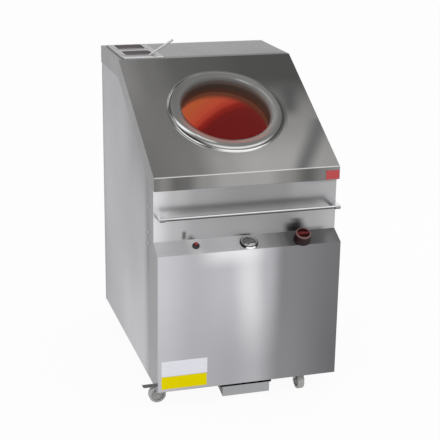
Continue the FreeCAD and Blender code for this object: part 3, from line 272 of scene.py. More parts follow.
def stripPoint(x, along, out=0.0):
    # a point on the control strip: x, distance down from its upper edge, height over it
    return (np.array([x, panelY, sizes["stripTop"]]) + along * np.array(downStrip)
            + out * np.array(outStrip))


# Sheet steel. Rubbed steel shows the room in soft bands, and here those bands are painted
# reflections and painted shade in the colour. Each face of a sheet has two coordinates in
# metres, u along its bands and v from row to row; u and v are measured from an origin, or
# round a centre, where u is the angle in degrees. A stroke is a painted lighter or darker
# sweep from one (u, v) to another: a highlight, a reflection or a shadow.

sheetLook = {"grain": (6.0, 6.0, 900.0), "cloud": 3.0, "roughness": (0.26, 0.36),
             "bump": 0.05, "fold": 0.0022}

# what a face or a stroke has where it gives none of its own
usual = {"drift": 0.03, "metal": 1.0, "soft": 0.3, "strength": 1.0}


def faceCoordinates(tree, place, zone):
    u, v = placeAlong(tree, place, zone["origin"], (zone["u"], zone["v"]))
    if not zone.get("round"):
        return u, v
    return maths(tree, "DEGREES", maths(tree, "ARCTAN2", v, u)), distance(tree, u, v)


def strokeShare(tree, u, v, stroke):
    # how far a point lies in a stroke: its middle line is straight in u and v, and its
    # width is measured across u, or across v where it is steep
    steep = stroke.get("steep", False)
    run, cross = (v, u) if steep else (u, v)
    (start, first), (end, last) = (place[::-1] if steep else place
                                   for place in (stroke["from"], stroke["to"]))
    lean = (last - first) / (end - start)
    middle = maths(tree, "ADD", maths(tree, "MULTIPLY", run, lean), first - start * lean)
    off = maths(tree, "ABSOLUTE", maths(tree, "SUBTRACT", cross, middle))
    share = fade(tree, off, stroke["width"], 0.0)
    soft = (end - start) * stroke.get("soft", usual["soft"])
    for edge, full in ((start, start + soft), (end, end - soft)):
        share = maths(tree, "MULTIPLY", share, fade(tree, run, edge, full))
    return maths(tree, "MULTIPLY", share, stroke.get("strength", usual["strength"]))


def paintedFace(tree, place, zone, cloud):
    # each row of painted tones passes into the next one up v, then the painted strokes go over
    # them
    u, v = faceCoordinates(tree, place, zone)
    drift = zone.get("drift", usual["drift"])
    u = maths(tree, "ADD", u, maths(tree, "MULTIPLY", maths(tree, "SUBTRACT", cloud, 0.5), drift))
    (passed, stops), *others = zone["rows"]
    shade = tones(tree, u, stops)
    for level, stops in others:
        shade = mix(tree, fade(tree, v, passed, level), shade, tones(tree, u, stops))
        passed = level
    shade = mix(tree, 1.0, shade, (*zone["tint"], 1.0), "MULTIPLY")
    for stroke in zone.get("strokes", ()):
        tone = colour(stroke["colour"]) if "colour" in stroke else grey(stroke["light"])
        at = (u, v)
        if "around" in stroke:
            at = faceCoordinates(tree, place, {**zone, "origin": stroke["around"],
                                               "round": True})
        shade = mix(tree, strokeShare(tree, *at, stroke), shade, tone)
    return shade


def zoneShare(tree, place, zone):
    # 1 where the surface faces the zone's way, or lies beyond its plane, and 0 elsewhere
    kind, axis, limit = zone["where"]
    value = dot(tree, place.outputs["Normal" if kind == "facing" else "Object"], axis)
    if zone.get("bothSides"):
        value = maths(tree, "ABSOLUTE", value)
    return maths(tree, "GREATER_THAN", value, limit)


def paintedSteel(name, zones, look, **finish):
    # one sheet with several faces, each with painted reflections and shade in its colour,
    # where a later zone covers the earlier ones; a face that only mirrors another one has a
    # duller metal
    material, tree, shader, place = newMaterial(name)
    grain, cloud = rubbedSurface(tree, shader, place, look)
    first, *others = zones
    whole, metal = paintedFace(tree, place, first, cloud), first.get("metal", usual["metal"])
    for zone in others:
        inside = zoneShare(tree, place, zone)
        whole = mix(tree, inside, whole, paintedFace(tree, place, zone, cloud))
        own = zone.get("metal", usual["metal"])
        if own != metal:
            metal = mapped(tree, inside, (0, 1), (metal, own))
    fine = mapped(tree, grain, rubbing["spread"], rubbing["tone"])
    tinted = addNode(tree, "ShaderNodeVectorMath", {0: whole, 1: fine}, operation="MULTIPLY")
    finishShader(tree, shader, base=tinted.outputs[0], metallic=metal, **finish)
    return material


coolTint, plainTint, warmTint = (0.985, 0.98, 1.03), (1.0, 0.99, 1.01), (1.01, 0.995, 0.975)

coverPaintedLight = [
    # apron, painted reflections: pale lavender left, one bright upright band, dark right third
    {"origin": (0, 0, 0), "u": acrossX, "v": upZ, "tint": coolTint,
     "rows": [(0.12, [(-0.35, 0.76), (-0.20, 0.70), (-0.08, 0.67), (0.02, 0.705), (0.13, 0.54),
                      (0.35, 0.43)]),
              (0.50, [(-0.35, 0.81), (-0.20, 0.73), (-0.10, 0.755), (0.0, 0.82), (0.07, 0.72),
                      (0.135, 0.52), (0.35, 0.455)])],
     # painted highlights: a soft bright band up the middle, and a bright level band high up
     "strokes": [{"from": (0.025, 0.12), "to": (-0.02, 0.80), "steep": True, "width": 0.080,
                  "light": 0.95, "strength": 0.42, "soft": 0.5},
                 {"from": (-0.23, 0.605), "to": (0.09, 0.605), "width": 0.075, "light": 1.0,
                  "strength": 0.6, "soft": 0.4}]},
    # upper panel, painted reflections: bright left end, the rail's dark mirror image, and the
    # knob's low down; painted shadows under the hood's lip and along the fold, and the button's
    # painted reflection
    {"where": ("beyond", upZ, sizes["stripTop"]), "origin": (0, 0, 0), "u": acrossX, "v": upZ,
     "tint": plainTint,
     "rows": [(0.66, [(-0.35, 0.87), (-0.27, 0.73), (-0.18, 0.66), (-0.02, 0.63), (0.15, 0.575),
                      (0.25, 0.655), (0.35, 0.72)]),
              (0.81, [(-0.35, 0.88), (-0.27, 0.73), (-0.18, 0.645), (-0.02, 0.585), (0.14, 0.585),
                      (0.20, 0.64), (0.35, 0.69)])],
     "strokes": [{"from": (-0.315, 0.747), "to": (0.33, 0.747), "width": 0.028, "light": 0.42,
                  "strength": 0.58, "soft": 0.13},
                 {"from": (0.19, 0.834), "to": (0.42, 0.834), "width": 0.020, "light": 0.45,
                  "strength": 0.8, "soft": 0.4},
                 {"from": (0.20, 0.638), "to": (0.32, 0.638), "width": 0.018, "light": 0.44,
                  "strength": 0.8, "soft": 0.3},
                 {"from": (0.225, 0.630), "to": (0.192, 0.694), "steep": True, "width": 0.038,
                  "light": 0.28, "strength": 0.85, "soft": 0.2},
                 {"from": (-0.235, 0.634), "to": (-0.232, 0.676), "steep": True,
                  "width": 0.013, "light": 0.36, "strength": 0.95, "soft": 0.3}]},
    # control strip, painted reflections: pale up to the gauge, then dark round the knob, with a
    # pale upright patch at the button
    {"where": ("facing", upZ, 0.5), "origin": (0, panelY, sizes["stripTop"]), "u": acrossX,
     "v": downStrip, "tint": plainTint, "metal": 0.35,
     "rows": [(0.03, [(-0.35, 0.84), (-0.27, 0.80), (-0.05, 0.86), (0.04, 0.735), (0.10, 0.60),
                      (0.135, 0.50), (0.16, 0.39), (0.24, 0.40), (0.30, 0.45), (0.35, 0.37)])],
     "strokes": [{"from": (-0.198, -0.02), "to": (-0.198, 0.10), "steep": True, "width": 0.045,
                  "light": 0.94, "strength": 0.7, "soft": 0.1}]},
    # side returns, with a painted highlight along the front edge
    {"where": ("facing", acrossX, 0.5), "bothSides": True, "origin": (0, apronY, 0),
     "u": backY, "v": upZ, "tint": coolTint, "drift": 0.0,
     "rows": [(0.15, [(0.0, 0.66), (0.02, 0.53), (0.15, 0.525)]),
              (0.60, [(0.0, 0.60), (0.02, 0.485), (0.15, 0.435)])]},
]

hoodPaintedLight = [
    # slope, painted reflections: brown grey, palest low down in the middle, darkest at the
    # upper right, with a painted dark sweep off to the right and the ring's painted shadow
    # beside it
    {"origin": (0, lipY, lipTop), "u": acrossX, "v": upSlope, "tint": warmTint,
     "rows": [(0.05, [(-0.35, 0.425), (-0.20, 0.455), (-0.08, 0.585), (0.03, 0.635),
                      (0.14, 0.625), (0.35, 0.58)]),
              (0.30, [(-0.35, 0.445), (-0.22, 0.43), (0.10, 0.50), (0.27, 0.53), (0.35, 0.50)]),
              (0.53, [(-0.35, 0.49), (-0.25, 0.415), (-0.12, 0.345), (0.0, 0.32),
                      (0.15, 0.285), (0.35, 0.28)])],
     "strokes": [{"from": (0.187, -0.03), "to": (0.373, 0.28), "steep": True, "width": 0.062,
                  "light": 0.40, "strength": 0.95, "soft": 0.08},
                 {"from": (0.237, 0.26), "to": (0.30, 0.52), "steep": True, "width": 0.07,
                  "light": 0.30, "strength": 0.85, "soft": 0.35},
                 # painted round the mouth: the ring's shadow at its right, its pale reflection
                 # above, and thin bright highlights low on its left
                 {"around": mouthCentre, "from": (-40, 0.229), "to": (40, 0.229),
                  "width": 0.014, "light": 0.31, "strength": 0.8, "soft": 0.4},
                 {"around": mouthCentre, "from": (30, 0.2325), "to": (128, 0.2290),
                  "width": 0.009, "light": 0.46, "soft": 0.25},
                 {"around": mouthCentre, "from": (-166, 0.228), "to": (-118, 0.2365),
                  "width": 0.0035, "light": 0.80},
                 {"around": mouthCentre, "from": (-122, 0.2300), "to": (-66, 0.2275),
                  "width": 0.0045, "light": 0.97},
                 # a painted highlight along the fold at the foot of the slope
                 {"from": (-0.36, 0.001), "to": (0.36, 0.001), "width": 0.0065,
                  "light": 0.90, "strength": 0.85, "soft": 0.02}]},
    # deck: cooler and calm, painted shade along its right front edge, a painted highlight at the
    # rear
    {"where": ("facing", upZ, 0.95), "origin": (0, deckEdge, 0), "u": acrossX, "v": backY,
     "tint": plainTint, "metal": 0.2,
     "rows": [(0.010, [(-0.35, 0.43), (-0.10, 0.36), (0.02, 0.27), (0.10, 0.20), (0.35, 0.13)]),
              (0.06, [(-0.35, 0.485), (-0.10, 0.525), (0.0, 0.505), (0.35, 0.475)])],
     "strokes": [{"from": (-0.36, 0.351), "to": (0.36, 0.351), "width": 0.02, "light": 0.62,
                  "strength": 0.9, "soft": 0.02}]},
    # lip: bands of painted reflection
    {"where": ("facing", (0.0, -1.0, 0.0), 0.8), "origin": (0, 0, 0), "u": acrossX, "v": upZ,
     "tint": warmTint,
     "rows": [(0.86, [(-0.35, 0.47), (-0.32, 0.52), (-0.27, 0.40), (-0.24, 0.41), (-0.17, 0.555),
                      (-0.08, 0.63), (0.06, 0.64), (0.14, 0.55), (0.23, 0.385), (0.29, 0.49),
                      (0.35, 0.54)])]},
    # skirts: painted reflection, a little darker towards both ends
    {"where": ("facing", acrossX, 0.5), "bothSides": True, "origin": (0, 0, 0), "u": backY,
     "v": upZ, "tint": coolTint,
     "rows": [(0.9, [(-0.44, 0.355), (-0.30, 0.385), (0.0, 0.42), (0.20, 0.42), (0.50, 0.375)])]},
]

sidePaintedLight = [
    # painted reflections, pale and cool, with painted shade along the front edge
    {"origin": (0, 0, 0), "u": backY, "v": upZ, "tint": coolTint,
     "rows": [(0.20, [(-0.34, 0.62), (-0.25, 0.735), (0.0, 0.72), (0.25, 0.66), (0.43, 0.635),
                      (0.50, 0.56)]),
              (0.60, [(-0.34, 0.47), (-0.26, 0.66), (0.0, 0.645), (0.43, 0.68), (0.50, 0.61)]),
              (1.05, [(-0.34, 0.46), (-0.10, 0.55), (0.10, 0.635), (0.43, 0.64), (0.50, 0.60)])]},
    # the back: plainer painted reflections
    {"where": ("facing", backY, 0.5), "origin": (0, 0, 0), "u": acrossX, "v": upZ,
     "tint": coolTint,
     "rows": [(0.1, [(-0.35, 0.60), (-0.05, 0.70), (0.20, 0.64), (0.35, 0.58)]),
              (1.1, [(-0.35, 0.64), (-0.10, 0.66), (0.20, 0.69), (0.35, 0.62)])]},
]

useMaterial(paintedSteel("cover_steel_painted_light", coverPaintedLight, sheetLook), "front_cover")
useMaterial(paintedSteel("hood_steel_painted_light", hoodPaintedLight,
                         {**sheetLook, "grain": (900.0, 6.0, 6.0), "roughness": (0.22, 0.32)},
                         specular=0.05), "hood")
useMaterial(paintedSteel("side_steel_painted_light", sidePaintedLight, {**sheetLook, "roughness": (0.32, 0.44)}),
            "side_panel_left", "side_panel_right", "back_panel")

polishedLook = {"grain": (40.0, 40.0, 40.0), "cloud": 8.0, "roughness": (0.08, 0.15),
                "bump": 0.01, "fold": 0.0008}
dullLook = {"grain": (60.0, 60.0, 60.0), "cloud": 20.0, "roughness": (0.35, 0.5),
            "bump": 0.05, "fold": 0.0006}

insertPaintedLight = {
    # drop-in frame: a painted highlight on its front rim, a dark line painted down its left
    # edge, calm elsewhere
    "origin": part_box("pan_frame")[0], "u": acrossX, "v": backY, "tint": plainTint, "drift": 0.0,
    "metal": 0.4,
    "rows": [(0.004, [(0.0, 0.93), (0.2, 0.95)]), (0.010, [(0.0, 0.50), (0.2, 0.52)])],
    "strokes": [{"from": (0.003, -0.01), "to": (0.003, 0.40), "steep": True, "width": 0.006,
                 "light": 0.12, "soft": 0.02}]}
useMaterial(paintedSteel("insert_frame_painted_light", [insertPaintedLight],
                         {**polishedLook, "roughness": (0.2, 0.3), "fold": 0.0015}), "pan_frame")

trayPaintedShade = [
    # an even front, and sides darker in painted shade
    {"origin": (0, 0, 0), "u": acrossX, "v": upZ, "tint": (0.98, 1.0, 1.02), "drift": 0.0,
     "rows": [(0.05, [(-0.30, 0.64), (0.0, 0.65), (0.30, 0.66)])]},
    {"where": ("facing", acrossX, 0.5), "bothSides": True, "origin": (0, 0, 0), "u": backY,
     "v": upZ, "tint": plainTint, "drift": 0.0, "rows": [(0.05, [(-0.5, 0.30), (0.5, 0.36)])]}]
useMaterial(paintedSteel("tray_steel_painted_shade", trayPaintedShade, dullLook),
            "debris_tray", "tray_runner_left", "tray_runner_right")

railLow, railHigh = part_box("towel_rail")
railPaintedLight = {
    # u is the angle round the rail, 90 on top and 180 in front; its tones are painted
    # reflections, bright on its upper front and dark on top, behind and below
    "origin": (np.array(railLow) + np.array(railHigh)) / 2, "u": backY, "v": upZ, "round": True,
    "tint": plainTint, "drift": 0.0,
    "rows": [(0.0, [(-180, 0.40), (-140, 0.26), (60, 0.22), (84, 0.30), (104, 0.93), (146, 0.90),
                    (180, 0.40)])]}
useMaterial(paintedSteel("rail_steel_painted_light", [railPaintedLight], polishedLook), "towel_rail")

# Steels without faces of their own: tones by height in metres, and the nodes they go on.

bracketLow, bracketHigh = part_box("rail_bracket_left")
steels = {
    "polished_steel": {
        "tones": [(0.0, "c4c3c6"), (1.2, "c2c1c2")], "look": polishedLook,
        "on": ["cover_screws"]},
    # ladle: lighter towards its top, painted light
    "ladle_steel_painted_light": {
        "tones": [(1.1, "a9a7a6"), (1.2, "d8d6d4")], "look": polishedLook, "metallic": 0.4,
        "on": ["ladle"]},
    # pans: a dark line under a bright rim, painted shade and a painted highlight
    "pan_steel_painted_rim_light": {
        "tones": [(1.10, "8e8a88"), (1.19, "9c9796"), (1.203, "7d797a"), (1.207, "a5a3a6")],
        "look": {**polishedLook, "roughness": (0.3, 0.4)}, "metallic": 0.15,
        "on": ["front_pan", "rear_pan"]},
    # brackets: painted shade low down and a painted highlight along the top edge
    "bracket_steel_painted_light": {
        "tones": [(bracketLow[2], "6c6b6e"), (bracketHigh[2] - 0.01, "8b8a8d"),
                  (bracketHigh[2], "e6e6e8")], "look": polishedLook,
        "on": ["rail_bracket_left", "rail_bracket_right"]},
    "plain_sheet_steel": {
        "tones": [(0.0, "9a9b9d"), (1.0, "a2a3a4")], "look": dullLook,
        "on": ["base_pan", "corner_posts", "cradle_left", "cradle_right", "barrel_shell",
               "barrel_lid", "debris_chute", "element_terminal_cover", "gauge_case"]},
    "zinc_plated_steel": {
        "tones": [(0.0, "a6a7a6"), (0.1, "a6a7a7")], "metallic": 0.4,
        "look": {**dullLook, "roughness": (0.3, 0.45), "fold": 0.0008},
        "on": ["castor_plates", "castor_bolts", "thermostat_shaft", "bonding_stud",
               *named("castor_fork", "castor_axle")]},
    # pedals: darker low down, painted shade
    "pedal_steel_painted_shade": {
        "tones": [(0.03, "5f5f60"), (0.09, "8a8a8b")], "look": {**dullLook, "fold": 0.0008},
        "on": named("brake_pedal")},
}


def plainSteel(name, steel):
    material, tree, shader, place = newMaterial(name)
    rubbedSurface(tree, shader, place, steel["look"])
    height = dot(tree, place.outputs["Object"], upZ)
    finishShader(tree, shader, base=shades(tree, height, steel["tones"]),
                 metallic=steel.get("metallic", 1.0))
    return material


for name, steel in steels.items():
    useMaterial(plainSteel(name, steel), *steel["on"])
print("steel finished")

# Mouth, neck and glowing pot.

ringPaintedLight = {
    # u is the angle round the mouth, 0 at the right and 90 up the slope; v the radius;
    # "polished" is the radii from its dull inner wall to its bright crown
    "origin": mouthCentre, "u": acrossX, "v": upSlope, "round": True, "tint": (1.01, 1.0, 0.965),
    "drift": 0.0, "polished": (0.174, 0.186),
    # rows of painted reflection round the crown
    "rows": [(0.184, [(-180, 0.42), (-110, 0.46), (-20, 0.53), (40, 0.49), (70, 0.46),
                      (110, 0.44), (180, 0.42)]),
             (0.214, [(-180, 0.44), (-130, 0.48), (-60, 0.46), (-15, 0.34), (20, 0.35),
                      (60, 0.44), (105, 0.40), (140, 0.34), (180, 0.44)])],
    "strokes": [
        # inner edge: a paler painted highlight above, red and pink painted reflections of the
        # glow below
        {"from": (20, 0.172), "to": (179, 0.172), "width": 0.010, "light": 0.42, "soft": 0.2},
        {"from": (-175, 0.198), "to": (-40, 0.196), "width": 0.010, "colour": "a97e76",
         "strength": 0.8, "soft": 0.2},
        {"from": (-176, 0.181), "to": (-84, 0.184), "width": 0.018, "colour": "74251e",
         "strength": 0.95, "soft": 0.2},
        {"from": (-84, 0.178), "to": (-28, 0.178), "width": 0.012, "colour": "b4958d",
         "strength": 0.8},
        # painted highlights from the left and the front: three crescents with a painted
        # dark gap between
        {"from": (-152, 0.224), "to": (-104, 0.222), "width": 0.010, "light": 0.20,
         "strength": 0.8},
        {"from": (-184, 0.2205), "to": (-128, 0.2085), "width": 0.0048, "light": 1.0,
         "soft": 0.45},
        {"from": (-168, 0.2235), "to": (-120, 0.2275), "width": 0.003, "light": 0.95},
        {"from": (-136, 0.2175), "to": (-44, 0.2150), "width": 0.0038, "light": 0.92},
        {"from": (-122, 0.2265), "to": (-52, 0.2250), "width": 0.0065, "light": 1.0},
        # a painted highlight on the inner edge at the right
        {"from": (-4, 0.184), "to": (40, 0.182), "width": 0.0035, "light": 0.70, "strength": 0.6},
        # a thin painted highlight along the bead, and a short painted bright streak at the left
        {"from": (92, 0.2250), "to": (179, 0.2250), "width": 0.0035, "light": 0.66,
         "soft": 0.15},
        {"from": (132, 0.2160), "to": (176, 0.2230), "width": 0.005, "light": 0.78}],
}


def rolledRingSteel(zone, look):
    # polished on its crown, its colour painted reflections and highlights; its inner wall,
    # dulled by heat, mirrors nothing
    material, tree, shader, place = newMaterial("rolled_ring_painted_light")
    cloud = rubbedSurface(tree, shader, place, look)[1]
    radius = faceCoordinates(tree, place, zone)[1]
    finishShader(tree, shader, base=paintedFace(tree, place, zone, cloud),
                 metallic=fade(tree, radius, *zone["polished"]), specular=look["specular"])
    return material


ringLook = {**polishedLook, "fold": 0.001, "roughness": (0.16, 0.24), "specular": 0.2}
useMaterial(rolledRingSteel(ringPaintedLight, ringLook), "mouth_ring")


def depthInMouth(tree, place):
    # how far below the slope a point lies, measured square to it
    return maths(tree, "SUBTRACT", float(mouthCentre @ np.array(outSlope)),
                 dot(tree, place.outputs["Object"], outSlope))


neckLook = {"look": {**dullLook, "grain": (20.0, 20.0, 300.0)},
            "steel": [(0.0, "6a655e"), (0.02, "4a453f"), (0.062, "3a302b")],
            "glow": [(0.0, "1c1916"), (0.02, "0a0806"), (0.045, "2c150c"), (0.062, "5c3320")],
            "finish": {"metallic": 0.0, "specular": 0.2, "emission": 1.0}}


def tintedNeck(look):
    # dull steel, grey at the rim and darker further down in painted shade, with a faint
    # painted glow at the rim and a painted brown glow from the pot at its foot
    material, tree, shader, place = newMaterial("neck_steel_painted_glow")
    rubbedSurface(tree, shader, place, look["look"])
    depth = depthInMouth(tree, place)
    finishShader(tree, shader, base=shades(tree, depth, look["steel"]),
                 glow=shades(tree, depth, look["glow"]), **look["finish"])
    return material


useMaterial(tintedNeck(neckLook), "neck_sleeve")

# the pot's painted glow by depth and x: rim and rimGlow paint the shade along its rim, and lean
# sets how much brighter the left is painted
potLook = {"clay": "3a1d16", "lean": 1.4, "wave": 0.03, "rim": (0.055, 0.105),
           "rimGlow": "4a2c20",
           "glow": [(0.035, "a8502e"), (0.110, "aa4a30"), (0.160, "ac4530"), (0.206, "a23829"),
                    (0.254, "7c1c18"), (0.296, "621716"), (0.355, "5e1516")],
           "noise": {"Scale": 9.0, "Detail": 5.0, "Roughness": 0.6}, "bump": (0.4, 0.002),
           "finish": {"roughness": 0.9, "emission": 1.0}}


def glowingClay(look):
    # fired clay with its glow painted on as light, brightest high up on the left and dimmed
    # by painted shade along its rim: the tone follows depth plus a share of x
    material, tree, shader, place = newMaterial("clay_painted_glow")
    noise = addNode(tree, "ShaderNodeTexNoise",
                    {"Vector": place.outputs["Object"], **look["noise"]}).outputs["Fac"]
    addBump(tree, shader, noise, *look["bump"])
    depth = depthInMouth(tree, place)
    sideways = maths(tree, "MULTIPLY", dot(tree, place.outputs["Object"], acrossX), look["lean"])
    wavy = maths(tree, "MULTIPLY", maths(tree, "SUBTRACT", noise, 0.5), look["wave"])
    value = maths(tree, "ADD", maths(tree, "ADD", depth, sideways), wavy)
    glow = mix(tree, fade(tree, depth, *look["rim"]), colour(look["rimGlow"]),
               shades(tree, value, look["glow"]))
    finishShader(tree, shader, base=colour(look["clay"]), glow=glow, **look["finish"])
    return material


useMaterial(glowingClay(potLook), "clay_pot")

elementLook = {"sheath": "3a2a24", "noise": {"Scale": 60.0, "Detail": 3.0},
               "spread": (0.3, 0.7), "tones": ("ff5a1e", "ff9a4a"),
               "finish": {"roughness": 0.7, "emission": 1.2}}


def hotElement(look):
    material, tree, shader, place = newMaterial("hot_element_sheath")
    finishShader(tree, shader, base=colour(look["sheath"]),
                 glow=mottled(tree, shader, place, look), **look["finish"])
    return material


useMaterial(hotElement(elementLook), "heating_element_outer", "heating_element_inner")
print("mouth and pot finished")

# Moulded, painted, fired and fibrous surfaces, and the nodes they go on.

mouldedLook = {"noise": {"Scale": 400.0, "Detail": 3.0}, "spread": (0.35, 0.65),
               "bump": (0.3, 0.0001)}
mouldings = {
    "black_plastic": {
        "tones": ("121212", "1a1a1a"), "finish": {"roughness": 0.35},
        "on": ["button_collar", "button_switch", "thermostat_body", "cable_gland"]},
    "red_plastic": {
        "tones": ("8e1c26", "9c2430"), "finish": {"roughness": 0.3, "coat": 0.3},
        "on": ["push_button"]},
    "red_enamel": {"tones": ("b82a2c", "c43033"), "finish": {"roughness": 0.3, "coat": 0.6}},
    "white_label_film": {
        "tones": ("ededf6", "f5f5fc"), "finish": {"roughness": 0.5, "specular": 0.1}},
    "yellow_label_film": {
        "tones": ("efdc00", "f7e600"), "finish": {"roughness": 0.6, "specular": 0.03}},
    "dark_needle_paint": {
        "tones": ("1c1c1e", "262628"), "finish": {"roughness": 0.3}, "on": ["gauge_needle"]},
    "grey_wheel_rubber": {
        "tones": ("b1b2af", "bcbdba"), "noise": {"Scale": 120.0, "Detail": 3.0},
        "finish": {"roughness": 0.55}, "on": named("castor_wheel")},
    "white_steatite": {
        "tones": ("d8d3c4", "e2ddd0"), "finish": {"roughness": 0.4}, "on": ["terminal_block"]},
    "mineral_fibre": {
        "tones": ("b5aa86", "ded6b8"), "spread": (0.3, 0.7), "bump": (0.6, 0.002),
        "noise": {"Scale": 90.0, "Detail": 6.0, "Distortion": 1.5},
        "finish": {"roughness": 1.0, "sheen": 0.3}, "on": ["insulation_jacket"]},
}


def moulded(name, look):
    material, tree, shader, place = newMaterial(name)
    finishShader(tree, shader, base=mottled(tree, shader, place, look), **look["finish"])
    return material


paints = {name: moulded(name, {**mouldedLook, **look}) for name, look in mouldings.items()}
for name, look in mouldings.items():
    useMaterial(paints[name], *look.get("on", ()))

# The controls' axes on the strip: x, and distance down from its upper edge.

controls = {"knob": (0.203, 0.050), "gauge": (0.0, 0.040)}


def stripPolar(tree, place, name):
    # distance from a control's axis, height over the strip and place up the strip
    across, up, level = placeAlong(tree, place, stripPoint(*controls[name]),
                                   (acrossX, upStrip, outStrip))
    return {"radius": distance(tree, across, up), "level": level, "up": up}


knobLook = {**mouldedLook, "noise": {"Scale": 300.0, "Detail": 3.0},
            "tones": ("210d0f", "281113"), "faceLevel": (0.0325, 0.0345),
            "face": [(0.0, "7a2c2c"), (0.014, "6c2426"), (0.0225, "5a2022"), (0.0245, "7f6260"),
                     (0.0285, "7a5f5d")],
            "sunkShade": "431a1c", "sunkLevel": 0.0372, "sunkRadius": 0.0232,
            "finish": {"roughness": 0.45, "specular": 0.2}}


def knobPlastic(look):
    # dark red moulding; on its face a painted highlight in the middle and a pale painted
    # highlight round the rim, and painted shade on the sunk face beside the grip bar
    material, tree, shader, place = newMaterial("dark_knob_plastic")
    at = stripPolar(tree, place, "knob")
    whole = mix(tree, fade(tree, at["level"], *look["faceLevel"]),
                mottled(tree, shader, place, look), shades(tree, at["radius"], look["face"]))
    sunkShade = maths(tree, "MULTIPLY", maths(tree, "LESS_THAN", at["level"], look["sunkLevel"]),
                 maths(tree, "LESS_THAN", at["radius"], look["sunkRadius"]))
    finishShader(tree, shader, base=mix(tree, sunkShade, whole, colour(look["sunkShade"])),
                 **look["finish"])
    return material


useMaterial(knobPlastic(knobLook), "thermostat_knob")

dialLook = {**mouldedLook, "noise": {"Scale": 500.0, "Detail": 2.0}, "bump": (0.2, 0.0001),
            "tones": ("e6e6e2", "eeeeea"), "shaded": "3c3c3e", "shadeEnds": (0.006, -0.004),
            "finish": {"roughness": 0.5}}


def dialPaint(look):
    # the dial's white is in its own shade above and catches the light below
    material, tree, shader, place = newMaterial("dial_paint")
    lit = fade(tree, stripPolar(tree, place, "gauge")["up"], *look["shadeEnds"])
    whole = mix(tree, lit, colour(look["shaded"]), mottled(tree, shader, place, look))
    finishShader(tree, shader, base=whole, **look["finish"])
    return material


useMaterial(dialPaint(dialLook), "gauge_face")

bezelLook = {"look": polishedLook, "foot": (-0.0265, -0.0295),
             "tones": [(0.024, "ecebec"), (0.0300, "fafafa"), (0.0309, "4a484a"),
                       (0.0315, "161416"), (0.0345, "1a181a")]}


def bezelSteel(look):
    # turned bezel: dark round its outside, bright on its inner slope, and lit at its foot
    material, tree, shader, place = newMaterial("turned_bezel_steel")
    rubbedSurface(tree, shader, place, look["look"])
    at = stripPolar(tree, place, "gauge")
    shade = mix(tree, fade(tree, at["up"], *look["foot"]),
                shades(tree, at["radius"], look["tones"]), grey(1.0))
    finishShader(tree, shader, base=shade, metallic=1.0)
    return material


useMaterial(bezelSteel(bezelLook), "gauge_bezel")

glassLook = {"tint": "f6f8f8",
             "finish": {"roughness": 0.03, "ior": 1.45, "alpha": 0.06, "specular": 0.2}}


def clearGlass(look):
    material, tree, shader = newMaterial("gauge_glass")[:3]
    finishShader(tree, shader, base=colour(look["tint"]), **look["finish"])
    return material


useMaterial(clearGlass(glassLook), "gauge_glass")
print("plastics, rubber and glass finished")

# Plates on the sheet metal: blank, nothing is written on them. "place" is a plate's lower
# left corner, on the sheet; "rim" is the share of its thickness below the bevel.

plateEdge = {"points": 32, "rim": 0.7}
plates = {
    "white": {"width": 0.175, "height": 0.060, "corner": 0.002, "thick": 0.0003,
              "bevel": 0.0002, "place": (-0.337, apronY, 0.134), "paint": "white_label_film"},
    "yellow": {"width": 0.173, "height": 0.049, "corner": 0.002, "thick": 0.0003,
               "bevel": 0.0002, "place": (-0.337, apronY, 0.083), "paint": "yellow_label_film"},
    "badge": {"width": 0.052, "height": 0.034, "corner": 0.002, "thick": 0.0015,
              "bevel": 0.0008, "place": (0.298, lipY, 0.8355), "paint": "red_enamel"},
}


def bevelledPlate(name, look):
    # a thin plate that faces the front: a rounded rectangle's outline, its points set by
    # the angle round each corner, is carried out through four rows, and the last two are
    # drawn in, so that the rim is bevelled
    size = np.array([look["width"], look["height"]])
    count = plateEdge["points"]
    turn = np.linspace(0, 2 * np.pi, count, endpoint=False) + np.pi / count
    quarter = np.stack([np.cos(turn), np.sin(turn)], 1)
    outline = np.sign(quarter) * (size / 2 - look["corner"]) + quarter * look["corner"]
    level = np.array([0.0, plateEdge["rim"] * look["thick"], look["thick"], look["thick"]])
    inset = np.array([0.0, 0.0, look["bevel"], 2 * look["bevel"]])
    flat = size / 2 + outline * (1 - 2 * inset[:, None] / size)[:, None]
    points = np.array(look["place"]) + np.stack(
        [flat[..., 0], -level[:, None].repeat(count, 1), flat[..., 1]], axis=-1)
    i, j = np.meshgrid(np.arange(len(level) - 1), np.arange(count), indexing="ij")
    k = (j + 1) % count
    faces = np.stack([i * count + j, i * count + k, (i + 1) * count + k,
                      (i + 1) * count + j], axis=-1).reshape(-1, 4).tolist()
    faces.append(list(range((len(level) - 1) * count, len(level) * count)))
    faces.append(list(range(count))[::-1])
    buildPiece(name, points.reshape(-1, 3), faces, paints[look["paint"]], "cabinet")


for name, look in plates.items():
    bevelledPlate(f"blank_{name}_plate", look)
print("plates placed")

# Gauge dial: tick marks and numbers, just over the dial's face. Angles are in degrees
# from the right, turning to the left.

dial = {"level": -0.0064, "outer": 0.0262, "ticks": 28, "longEvery": 7, "start": 225.0,
        "sweep": 270.0, "long": 0.0045, "short": 0.0028, "wide": 0.0007, "thick": 0.0003,
        "numbers": (0, 100, 200, 300, 400), "numberRadius": 0.0165, "numberSize": 0.0058,
        "numberDepth": 0.00015, "numberLift": 0.0002}


def dialFrame(level):
    # a 4 by 4 place in the middle of the dial whose third axis stands square to the strip
    made = np.eye(4)
    made[:3] = np.stack([acrossX, upStrip, outStrip, stripPoint(*controls["gauge"], level)], 1)
    return made


